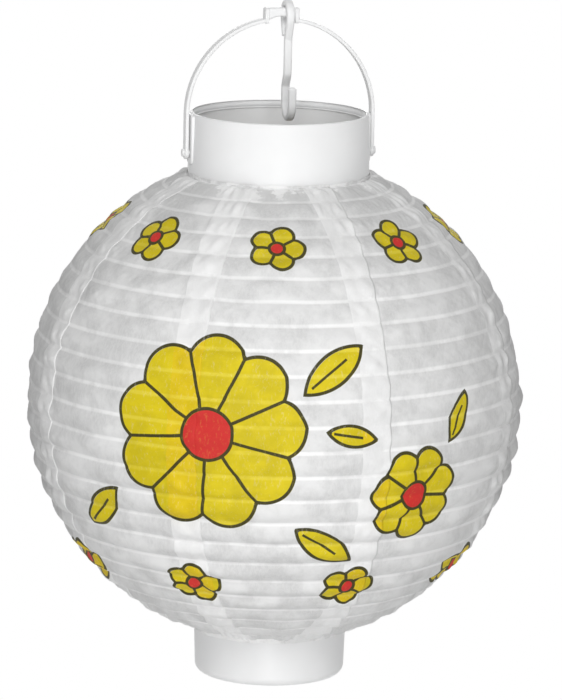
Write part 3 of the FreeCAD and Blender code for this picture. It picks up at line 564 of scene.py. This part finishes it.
def fibre_group():
    """Clouds, fibres and broad patches of thin hand-laid paper as shares from 0 to 1, and a bump height."""
    group, n, entry, leave = node_group(
        "Paper fibres",
        [("Scale", "NodeSocketFloat", 1.0)],
        [("Cloud", "NodeSocketFloat"), ("Fibre", "NodeSocketFloat"), ("Height", "NodeSocketFloat"),
         ("Patch", "NodeSocketFloat")])
    place = n.add("ShaderNodeTexCoord").outputs["Object"]
    scaled = n.add("ShaderNodeVectorMath", {"operation": "SCALE"}, i0=place)
    n.tree.links.new(entry.outputs["Scale"], scaled.inputs["Scale"])
    spot = scaled.outputs[0]
    cloud = n.add("ShaderNodeTexNoise", Vector=spot, Scale=95.0, Detail=5.0, Roughness=0.62).outputs["Fac"]
    stretched = n.add("ShaderNodeMapping", Vector=spot, Scale=(1.6, 1.6, 0.5)).outputs[0]
    strands = n.add(
        "ShaderNodeTexNoise", Vector=stretched, Scale=620.0, Detail=6.0, Roughness=0.7, Distortion=0.8)
    fibre = strands.outputs["Fac"]
    coarse = n.add("ShaderNodeTexNoise", Vector=spot, Scale=30.0, Detail=3.0).outputs["Fac"]
    both = n.math("ADD", n.math("MULTIPLY", cloud, 0.7), n.math("MULTIPLY", coarse, 0.3))
    n.tree.links.new(n.ramp(both, 0.38, 0.62), leave.inputs["Cloud"])
    n.tree.links.new(n.ramp(coarse, 0.38, 0.62), leave.inputs["Patch"])
    n.tree.links.new(n.ramp(fibre, 0.36, 0.66), leave.inputs["Fibre"])
    n.tree.links.new(n.math("ADD", n.math("MULTIPLY", fibre, 0.6), n.math("MULTIPLY", cloud, 0.4)),
                     leave.inputs["Height"])
    return group


def moulding_group():
    """Faint unevenness of moulded plastic: a share for the gloss and a height for bump."""
    group, n, entry, leave = node_group(
        "Moulded skin",
        [("Scale", "NodeSocketFloat", 60.0)],
        [("Gloss", "NodeSocketFloat"), ("Height", "NodeSocketFloat")])
    place = n.add("ShaderNodeTexCoord").outputs["Object"]
    flow = n.add("ShaderNodeTexNoise", Vector=place, Detail=3.0, Roughness=0.5)
    n.tree.links.new(entry.outputs["Scale"], flow.inputs["Scale"])
    grain = n.add("ShaderNodeTexNoise", Vector=place, Scale=2600.0, Detail=2.0)
    n.tree.links.new(n.ramp(flow.outputs["Fac"], 0.3, 0.7), leave.inputs["Gloss"])
    n.tree.links.new(
        n.math("ADD", n.math("MULTIPLY", flow.outputs["Fac"], 0.8),
               n.math("MULTIPLY", grain.outputs["Fac"], 0.2)),
        leave.inputs["Height"])
    return group


def shared_group(name, maker):
    return bpy.data.node_groups.get(name) or maker()


def material_nodes(name):
    material = bpy.data.materials.get(name)
    fresh = material is None
    if fresh:
        material = bpy.data.materials.new(name)
    material.use_nodes = True
    return material, fresh


def shade(n, material, **inputs):
    """Principled surface and its output."""
    shader = n.add("ShaderNodeBsdfPrincipled", **inputs)
    output = n.add("ShaderNodeOutputMaterial")
    n.tree.links.new(shader.outputs[0], output.inputs["Surface"])
    return material


def toned(colour, share=1.0):
    """A colour for a socket, darkened to a share of itself."""
    return tuple(share * c for c in colour) + (1.0,)


def outline_share(n, line=1.3):
    """Drawn line on the motifs' edges, between petals and along veins, from the stored offsets."""
    def stroke(name, width):
        return n.math("SUBTRACT", width / 2, n.math("ABSOLUTE", n.attribute(name)))
    edge, heart = n.attribute("edge"), n.attribute("heart_edge")
    within = n.math("MINIMUM", edge, n.math("MULTIPLY", heart, -1.0))
    split = n.math("MINIMUM", stroke("split", line), within)
    vein = n.math("MINIMUM", n.math("MINIMUM", stroke("vein", line * 0.8), n.attribute("vein_reach")), edge)
    drawn = n.math("MAXIMUM", stroke("edge", line), stroke("heart_edge", line))
    drawn = n.math("MAXIMUM", drawn, n.math("MAXIMUM", split, vein))
    return n.ramp(drawn, -0.12, 0.12)


def paper_material():
    """Thin mottled paper, whiter where it is double or lies on a wire, with painted shade on the paper just
    below the collar and the printed design.
    """
    material, fresh = material_nodes("Printed lantern paper")
    if not fresh:
        return material
    n = Nodes(material.node_tree)
    fibres = n.add("ShaderNodeGroup", {"node_tree": shared_group("Paper fibres", fibre_group)})
    grey, white = toned(colours().paper_grey), toned(colours().paper_white)
    # Darker grey: the dark side of the paper's random mottle, and also the colour of the painted shade below
    # the collar
    dark_mottle_and_painted_shade = toned(colours().paper_grey, 0.8)
    mottled = n.mix(n.math("MULTIPLY", fibres.outputs["Cloud"], 0.55), dark_mottle_and_painted_shade, white)
    thin = n.mix(n.math("MULTIPLY", fibres.outputs["Fibre"], 0.5), mottled, grey)
    # Painted shade: the paper from the collar down to 4 mm below the top crease is pulled 0.55 of the way to
    # the darker grey, fading out by 7 mm
    painted_shade_under_collar = n.ramp(n.attribute("neck"), 7.0, 4.0, 0.0, 0.55)
    thin = n.mix(painted_shade_under_collar, thin, dark_mottle_and_painted_shade)
    double = n.ramp(n.attribute("double"), -0.15, 0.15)
    near_wire = n.ramp(n.attribute("crease"), 2.4, 0.7)
    creased = n.ramp(fibres.outputs["Cloud"], 0.55, 0.8)
    wrinkle = n.math("MULTIPLY", n.math("MULTIPLY", double, near_wire), creased)
    crumple = n.math("MULTIPLY", n.ramp(n.attribute("neck"), 6.0, 1.0), creased)
    uneven = n.math("MULTIPLY", n.ramp(fibres.outputs["Cloud"], 0.1, 0.7, 0.6, 1.0), n.ramp(
        fibres.outputs["Patch"], 0.0, 1.0, 0.75, 1.0))
    wire = n.math("MULTIPLY", n.ramp(n.attribute("crease"), 1.15, 0.3), uneven)
    blotched = n.ramp(fibres.outputs["Cloud"], 0.2, 0.8, 0.25, 0.9)
    hem = n.math("MULTIPLY", n.ramp(n.attribute("hem"), -1.0, 0.1), blotched)
    white_share = n.math("MAXIMUM", n.math("MULTIPLY", double, 0.5), wire)
    white_share = n.math("MAXIMUM", white_share, n.math("MULTIPLY", wrinkle, 0.8))
    white_share = n.math("MAXIMUM", n.math("MAXIMUM", white_share, n.math("MULTIPLY", crumple, 0.8)), hem)
    paper = n.mix(white_share, thin, white)
    worn = n.math("MULTIPLY", n.ramp(fibres.outputs["Fibre"], 0.75, 1.0), 0.12)
    strength = n.math("SUBTRACT", 1.0, worn)
    yellow = n.math("MULTIPLY", n.ramp(n.attribute("fill"), -0.1, 0.1), strength)
    red = n.math("MULTIPLY", n.ramp(n.attribute("heart"), -0.1, 0.1), strength)
    ink = n.math("MULTIPLY", outline_share(n), strength)
    tone = n.mix(fibres.outputs["Cloud"], toned(colours().yellow, 0.84), toned(colours().yellow))
    yellow_on_seam, yellow_on_wire = (0.78, 0.52, 0.006), (0.86, 0.74, 0.1)
    tone = n.mix(n.math("MULTIPLY", double, 0.45), tone, toned(yellow_on_seam))
    tone = n.mix(n.math("MULTIPLY", wire, 0.4), tone, toned(yellow_on_wire))
    coloured = n.mix(red, n.mix(yellow, paper, tone), toned(colours().red))
    printed = n.mix(ink, coloured, toned(colours().outline))
    rough = n.ramp(n.math("MAXIMUM", yellow, ink), 0.0, 1.0, 0.82, 0.6)
    bump = n.add("ShaderNodeBump", Strength=0.35, Distance=0.0006, Height=fibres.outputs["Height"])
    passed = n.math("MULTIPLY", n.add("ShaderNodeLightPath").outputs["Is Shadow Ray"], LIGHT_THROUGH_FACE)
    return shade(
        n, material, Base_Color=printed, Roughness=rough, Normal=bump.outputs[0], Specular_IOR_Level=0.25,
        Alpha=n.math("SUBTRACT", 1.0, passed))


def plastic_material(name, colour, rough, scale=60.0, depth=0.05):
    """Moulded plastic with a faint flow in its gloss and surface."""
    material, fresh = material_nodes(name)
    if not fresh:
        return material
    n = Nodes(material.node_tree)
    skin = n.add("ShaderNodeGroup", {"node_tree": shared_group("Moulded skin", moulding_group)})
    skin.inputs["Scale"].default_value = scale
    tone = n.mix(skin.outputs["Gloss"], toned(colour, 0.97), toned(colour))
    gloss = n.ramp(skin.outputs["Gloss"], 0.0, 1.0, rough - 0.04, rough + 0.05)
    bump = n.add("ShaderNodeBump", Strength=depth, Distance=0.0004, Height=skin.outputs["Height"])
    return shade(
        n, material, Base_Color=tone, Roughness=gloss, Normal=bump.outputs[0], Specular_IOR_Level=0.25)


def metal_material(name, colour, rough):
    """Plated or drawn metal with fine handling marks."""
    material, fresh = material_nodes(name)
    if not fresh:
        return material
    n = Nodes(material.node_tree)
    skin = n.add("ShaderNodeGroup", {"node_tree": shared_group("Moulded skin", moulding_group)})
    skin.inputs["Scale"].default_value = 700.0
    tone = n.mix(skin.outputs["Gloss"], toned(colour, 0.86), toned(colour))
    gloss = n.ramp(skin.outputs["Gloss"], 0.0, 1.0, rough - 0.07, rough + 0.1)
    return shade(n, material, Base_Color=tone, Roughness=gloss, Metallic=1.0)


def glass_material():
    material, fresh = material_nodes("Bulb glass")
    if not fresh:
        return material
    n = Nodes(material.node_tree)
    clear = toned((0.97, 0.97, 0.95))
    return shade(n, material, Base_Color=clear, Roughness=0.04, Transmission_Weight=1.0, IOR=1.3)


def white_plastic():
    return plastic_material("White moulded plastic", colours().plastic, rough=0.34)


def dress(obj, material):
    obj.data.materials.clear()
    obj.data.materials.append(material)


def place(obj, body, slot, material, *nodes):
    """Gives a new piece its material, the body it rides on and the nodes it stands for."""
    dress(obj, material)
    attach(obj, body)
    if nodes:
        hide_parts(*nodes)


def looked_at(n):
    """1 where the camera, gloss or glass looks at a surface or past the lantern, and 0 for other light."""
    path = n.add("ShaderNodeLightPath")
    seen = n.math("MAXIMUM", path.outputs["Is Camera Ray"], path.outputs["Is Glossy Ray"])
    return n.math("MAXIMUM", seen, path.outputs["Is Transmission Ray"])


# Operators

class LANTERN_OT_paper(bpy.types.Operator):
    """Builds the eight printed paper gores"""
    bl_idname = "lantern.paper"
    bl_label = "Paper gores"

    def execute(self, context):
        paper = paper_material()
        for number in range(sizes().gores):
            grid, marks = gore_grid(number)
            gore = grid_object(f"paper_gore_{number + 1}", grid, flip=True)
            for name, values in {**marks, **printed_design(grid)}.items():
                give(gore, name, values)
            skin = gore.modifiers.new("thickness", "SOLIDIFY")
            skin.thickness = sizes().paper * MM
            skin.offset = -1.0
            place(gore, "collar", "paper", paper, "paper_gores")
            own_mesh(gore)
        return {"FINISHED"}


class LANTERN_OT_hoops(bpy.types.Operator):
    """Builds the round wire hoops behind the creases"""
    bl_idname = "lantern.hoops"
    bl_label = "Wire hoops"

    def execute(self, context):
        wire = plastic_material("White coated wire", colours().plastic, rough=0.4)
        half, ratio, gap = sizes().wire / 2, sizes().flattening, 0.05
        rings = []
        for radius, height in crease_lines()[1:-1]:
            out = np.array([radius, (height - globe_middle()) / ratio ** 2])
            out /= np.linalg.norm(out)
            middle = np.array([radius, height]) - out * (half + sizes().paper + gap)
            section = arc(middle, half, 0, 324, step=36)
            rings.append(grid_object("ring", turned_points(section, 144), around=True, along=True))
        hoops = merge("round_wire_hoops", rings)
        place(hoops, "collar", "wire", wire, "wire_hoops")
        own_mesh(hoops)
        return {"FINISHED"}


class LANTERN_OT_bail(bpy.types.Operator):
    """Builds the bail with its seat, round leg ends, pins and buttons"""
    bl_idname = "lantern.bail"
    bl_label = "Bail"

    def execute(self, context):
        low, high = (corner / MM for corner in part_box("bail_handle"))
        end_radius, thickness, width = 2.6, 1.6, 5.0
        button, button_radius, button_foot = 0.9, 1.5, 1.75
        pin_inside, pin_radius, pin_head, head_length, into_strap = 31.8, 1.5, 2.1, 0.8, 0.2
        seat_over_arch, axis_r = 4.5, 0.01
        middle_r = high.x - button - thickness / 2
        pivot_z = low.z + end_radius
        arch_z = SEAT_TOP_Z - seat_over_arch - middle_r
        seat_half, cheek = 7.0, 1.7
        pieces = []
        start = math.degrees(math.asin((seat_half - cheek * 0.5) / middle_r))
        for side in (1, -1):
            bow = arc((0, arch_z), middle_r, 90 - start, 0, 1.5)
            leg = np.array([[middle_r, arch_z - 1e-3], [middle_r, pivot_z]])
            flat = respaced(np.vstack([bow, leg]), 0.7)
            path = np.stack([side * flat[:, 0], 0 * flat[:, 0], flat[:, 1]], axis=-1)
            pieces.append(grid_object(
                "leg", bar_points(path, (0, 1, 0), width / 2, thickness / 2, corner=5.0, round_ends=0.4),
                around=True, caps=True))
            inner, outer = middle_r - thickness / 2, middle_r + thickness / 2
            ring = rounded_profile([
                (axis_r, inner, 0), (end_radius, inner, 0.35), (end_radius, outer, 0.45),
                (button_foot, outer, 0.1), (button_radius, outer + button, 0.35),
                (axis_r, outer + button, 0)])
            pieces.append(self.turned_end(ring, side, pivot_z))
            pin = rounded_profile([
                (axis_r, pin_inside, 0), (pin_radius, pin_inside, 0.2),
                (pin_head, pin_inside + head_length, 0.2), (pin_radius, pin_inside + head_length + 0.02, 0),
                (pin_radius, inner + into_strap, 0), (axis_r, inner + into_strap, 0)])
            pieces.append(self.turned_end(pin, side, pivot_z))
        pieces.append(self.seat(seat_half, cheek, SEAT_TOP_Z))
        bail = merge("bail_with_seat", pieces)
        place(bail, "handle", "white_plastic", white_plastic(), "bail_handle")
        return {"FINISHED"}

    def turned_end(self, profile, side, pivot_z):
        grid = turned_points(profile, 48, (0, 0, pivot_z), axis="X")
        grid[..., 0] *= side
        return grid_object("end", grid, around=True, caps=True)

    def seat(self, half, cheek, top):
        """Bar along X whose section is a rounded box: flat top, underside an arc, wider and deeper cheeks
        that blend in over a short length."""
        rise, cheek_depth, half_width, cheek_proud = 1.5, 6.4, 2.2, 0.5
        end_rounding, blend, row = 0.6, 0.35, 0.1
        bay, flat = half - cheek, half - end_rounding
        x = np.concatenate([
            np.linspace(-half, -flat, 7), np.linspace(row - flat, flat - row, 90),
            np.linspace(flat, half, 7)])
        radius = (bay ** 2 + rise ** 2) / (2 * rise)
        inner = np.clip(np.abs(x), 0, bay)
        arch = np.sqrt(radius ** 2 - inner ** 2) - radius
        to_cheek = np.clip((np.abs(x) - bay) / blend + 0.5, 0, 1)
        to_cheek = to_cheek ** 2 * (3 - 2 * to_cheek)
        under = arch * (1 - to_cheek) + (top - cheek_depth) * to_cheek
        half_w = half_width + cheek_proud * to_cheek
        end = np.clip((half - np.abs(x)) / end_rounding, 0, 1)
        shrink = end_rounding * (1 - np.sqrt(np.clip(1 - (1 - end) ** 2, 0, 1)))
        half_h = (top - under) / 2
        path = np.stack([x, 0 * x, (top + under) / 2], axis=-1)
        a, b = superellipse(40, 0.42)
        y = (half_w - shrink)[:, None] * a
        z = path[:, 2][:, None] + (half_h - shrink)[:, None] * b
        grid = np.stack([x[:, None] + 0 * y, y, z], axis=-1)
        return grid_object("seat", grid, around=True, caps=True)


class LANTERN_OT_hook(bpy.types.Operator):
    """Builds the S-shaped hanging hook"""
    bl_idname = "lantern.hook"
    bl_label = "Hanging hook"

    def execute(self, context):
        hook_x = (HOOK_LOW.x + HOOK_HIGH.x) / 2
        width = HOOK_HIGH.x - HOOK_LOW.x
        thickness, eye_r, lean = 2.6, 5.3, math.radians(25)
        tip_run, offset, shank, back = 6.9, 1.6, 14.0, 3.2
        bend_r, tip_rise = 6.2, 6.8
        eye_z = HOOK_HIGH.z - thickness / 2 - eye_r
        bend_z = HOOK_LOW.z + thickness / 2 + bend_r
        side, low = eye_r * math.cos(lean), eye_z - eye_r * math.sin(lean)
        shank_top = low - (side - offset) / math.tan(lean)
        shank_low = shank_top - shank
        back_y = back - offset
        eye = arc((0, eye_z), eye_r, -math.degrees(lean), 180 + math.degrees(lean), 4)
        tip = np.array([[side - tip_run * math.sin(lean), low - tip_run * math.cos(lean)]])
        middle = rounded_path(
            [(-side, low), (-offset, shank_top), (-offset, shank_low), (back_y, shank_low - back * 1.5),
             (back_y, bend_z)], radius=3.0)
        bend = arc((back_y - bend_r, bend_z), bend_r, 0, -180, 4)
        end = np.array([[back_y - 2 * bend_r, bend_z + tip_rise]])
        flat = respaced(np.vstack([tip, eye, middle[1:-1], bend, end]), 0.45)
        path = np.stack([0 * flat[:, 0] + hook_x, flat[:, 0], flat[:, 1]], axis=-1)
        grid = bar_points(path, (1, 0, 0), width / 2, thickness / 2, corner=3.2, sides=36, round_ends=0.9)
        hook = merge("s_hook", [grid_object("hook", grid, around=True, caps=True)])
        place(hook, "hook", "white_plastic", white_plastic(), "hanging_hook")
        return {"FINISHED"}


class LANTERN_OT_collar(bpy.types.Operator):
    """Builds the tapered collar with its inner step and pivot pads"""
    bl_idname = "lantern.collar"
    bl_label = "Top collar"

    def execute(self, context):
        radius, rim, wall, foot_wall = 36.4, 35.7, 1.6, 2.0
        step_depth, step_width, pad_proud = 2.9, 1.2, 0.4
        inside = rim - wall
        step, mouth = RIM_Z - step_depth, inside - step_width
        profile = rounded_profile([
            (radius, COLLAR_LOW_Z, 0.3), (radius, PAPER_TOP_Z, 0.3), (rim, RIM_Z, 0.7), (inside, RIM_Z, 0.6),
            (inside, step, 0.25), (mouth, step, 0.45), (radius - foot_wall, COLLAR_LOW_Z, 0.3)])
        tube = grid_object("tube", turned_points(profile, 224), around=True, along=True)
        pads = [self.pad(side, radius + pad_proud) for side in (1, -1)]
        collar = merge("collar_with_pads", [tube] + pads)
        place(collar, "collar", "white_plastic", white_plastic(), "top_collar")
        return {"FINISHED"}

    def pad(self, side, face):
        """Low slab on the collar: a grid over its width and height that narrows to its flat face in a rounded
        edge, |a|^8 + |b|^8 = 1, closed behind inside the wall."""
        half_w, below_rim, height = 4.5, 0.4, 19.8
        top, low = RIM_Z - below_rim, RIM_Z - below_rim - height
        a, b = superellipse(72, 0.25)
        rows = []
        for back, inset in ((2.2, 0.0), (0.9, 0.0), (0.4, 0.04), (0.18, 0.16), (0.06, 0.34), (0.0, 0.75)):
            y = (half_w - inset) * a
            z = (top + low) / 2 + ((top - low) / 2 - inset) * b
            rows.append(np.stack([side * (face - back) + 0 * y, y, z], axis=-1))
        return grid_object("pad", np.array(rows), around=True, caps=True)


class LANTERN_OT_fittings(bpy.types.Operator):
    """Gives the base, cells, contacts, switch and lamp their finishes"""
    bl_idname = "lantern.fittings"
    bl_label = "Base and lamp"

    def execute(self, context):
        white = white_plastic()
        black, slate = (0.02, 0.02, 0.022), (0.045, 0.05, 0.06)
        dark = plastic_material("Black moulded plastic", black, rough=0.45, scale=90.0, depth=0.08)
        wrap = plastic_material("Cell sleeve", slate, rough=0.3, scale=120.0, depth=0.03)
        steel = metal_material("Plated steel", (0.62, 0.62, 0.6), rough=0.3)
        brass = metal_material("Rolled brass", (0.7, 0.52, 0.22), rough=0.32)
        finishes = {
            white: ("base_cup", "battery_door", "lamp_deck"),
            dark: ("switch_housing", "switch_slider", "lamp_socket"),
            wrap: ("cell_front", "cell_rear"),
            steel: ("contact_bridge", "contact_positive", "contact_negative", "door_screw", "deck_screws"),
            brass: ("bulb_cap",),
            glass_material(): ("bulb_glass",),
        }
        for material, names in finishes.items():
            for name in names:
                dress(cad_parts[name], material)
        return {"FINISHED"}


# Lamps: name, distance before the globe's axis and height over its middle in m, power in W
LAMPS = (
    ("high lamp", 1.2, 0.9, 9.5),
    ("front lamp", 1.5, 0.1, 2.0),
    ("low lamp", 1.35, -0.65, 7.0),
    ("back lamp", -1.5, 0.15, 3.0),
)


class LANTERN_OT_stage(bpy.types.Operator):
    """Sets the camera, the lamps and the plain white surroundings"""
    bl_idname = "lantern.stage"
    bl_label = "Stage"

    distance: bpy.props.FloatProperty(name="Distance", description="Level, from the axis, m", default=2.05)
    rise: bpy.props.FloatProperty(name="Rise", description="Above the globe's middle, m", default=0.41)
    lens: bpy.props.FloatProperty(name="Lens", description="Focal length, mm", default=266.0)
    roll: bpy.props.FloatProperty(name="Roll", default=math.radians(1.1), subtype="ANGLE")

    floor_z: bpy.props.FloatProperty(name="Floor", description="Height of the floor, m", default=-1.0)
    floor_reach: bpy.props.FloatProperty(name="Floor reach", description="Half its side, m", default=2.2)
    lamp_size: bpy.props.FloatProperty(name="Lamp size", description="Side of each lamp, m", default=0.6)
    room_light: bpy.props.FloatProperty(name="Room light", description="Even light all round", default=0.355)

    def execute(self, context):
        scene = context.scene
        middle = Vector((0, 0, globe_middle() * MM))
        away = Vector((math.cos(FRONT), math.sin(FRONT), 0))
        camera_data = bpy.data.cameras.new("camera")
        camera = bpy.data.objects.new("camera", camera_data)
        scene.collection.objects.link(camera)
        camera.location = middle + away * self.distance + Vector((0, 0, self.rise))
        facing = (middle - camera.location).to_track_quat("-Z", "Y").to_euler()
        facing.rotate_axis("Z", self.roll)
        camera.rotation_euler = facing
        camera_data.lens = self.lens
        camera_data.sensor_width = 36.0
        picture_height, aside, upward = 700, 7, 46
        camera_data.shift_x = aside / picture_height
        camera_data.shift_y = upward / picture_height
        scene.camera = camera
        for name, out, rise, watts in LAMPS:
            self.lamp(scene, name, middle + away * out + Vector((0, 0, rise)), middle, watts)
        self.surroundings(scene)
        self.floor()
        scene.view_settings.view_transform = "Standard"
        return {"FINISHED"}

    def lamp(self, scene, name, where, target, watts):
        """Square lamp at one place that faces another."""
        data = bpy.data.lights.new(name, "AREA")
        data.size = self.lamp_size
        data.energy = watts
        lamp = bpy.data.objects.new(name, data)
        scene.collection.objects.link(lamp)
        lamp.location = where
        lamp.rotation_euler = (Vector(target) - Vector(where)).to_track_quat("-Z", "Y").to_euler()

    def floor(self):
        """Level square well below the hanging lantern, pale, white to the camera and open from beneath."""
        side = np.array([-1.0, 1.0]) * self.floor_reach / MM
        x, y = np.meshgrid(side, side)
        floor = grid_object("floor", np.stack([x, y, 0 * x + self.floor_z / MM], axis=-1))
        material, _ = material_nodes("Pale floor")
        n = Nodes(material.node_tree)
        pale = (0.85, 0.85, 0.85)
        matt = n.add("ShaderNodeBsdfDiffuse", Color=toned(pale)).outputs[0]
        bright = n.add("ShaderNodeEmission", Color=(1, 1, 1, 1), Strength=1.0).outputs[0]
        clear = n.add("ShaderNodeBsdfTransparent").outputs[0]
        top = n.add("ShaderNodeMixShader", i0=looked_at(n), i1=matt, i2=bright).outputs[0]
        under = n.add("ShaderNodeNewGeometry").outputs["Backfacing"]
        both = n.add("ShaderNodeMixShader", i0=under, i1=top, i2=clear).outputs[0]
        output = n.add("ShaderNodeOutputMaterial")
        n.tree.links.new(both, output.inputs["Surface"])
        dress(floor, material)

    def surroundings(self, scene):
        """White where the camera, gloss or glass looks past the lantern, a soft even light elsewhere."""
        world = bpy.data.worlds.new("white room")
        scene.world = world
        world.use_nodes = True
        n = Nodes(world.node_tree)
        strength = n.ramp(looked_at(n), 0.0, 1.0, self.room_light, 1.0, smooth=False)
        light = n.add("ShaderNodeBackground", Color=(1, 1, 1, 1), Strength=strength)
        output = n.add("ShaderNodeOutputWorld")
        n.tree.links.new(light.outputs[0], output.inputs["Surface"])


class LANTERN_PT_panel(bpy.types.Panel):
    bl_idname = "LANTERN_PT_panel"
    bl_label = "Paper lantern"
    bl_space_type = "VIEW_3D"
    bl_region_type = "UI"
    bl_category = "Lantern"

    def draw(self, context):
        for group in (context.scene.lantern_sizes, context.scene.lantern_colours):
            for name in group.__annotations__:
                self.layout.prop(group, name)
        for operator in OPERATORS:
            self.layout.operator(operator.bl_idname)


OPERATORS = (
    LANTERN_OT_paper, LANTERN_OT_hoops, LANTERN_OT_bail, LANTERN_OT_hook, LANTERN_OT_collar,
    LANTERN_OT_fittings, LANTERN_OT_stage,
)
CLASSES = (LanternSizes, LanternColours) + OPERATORS + (LANTERN_PT_panel,)


def register():
    for cls in CLASSES:
        bpy.utils.register_class(cls)
    bpy.types.Scene.lantern_sizes = bpy.props.PointerProperty(type=LanternSizes)
    bpy.types.Scene.lantern_colours = bpy.props.PointerProperty(type=LanternColours)


def unregister():
    del bpy.types.Scene.lantern_colours
    del bpy.types.Scene.lantern_sizes
    for cls in reversed(CLASSES):
        bpy.utils.unregister_class(cls)


def main():
    register()
    for name in ("paper", "hoops", "bail", "hook", "collar", "fittings", "stage"):
        getattr(bpy.ops.lantern, name)()


if __name__ == "__main__":
    main()
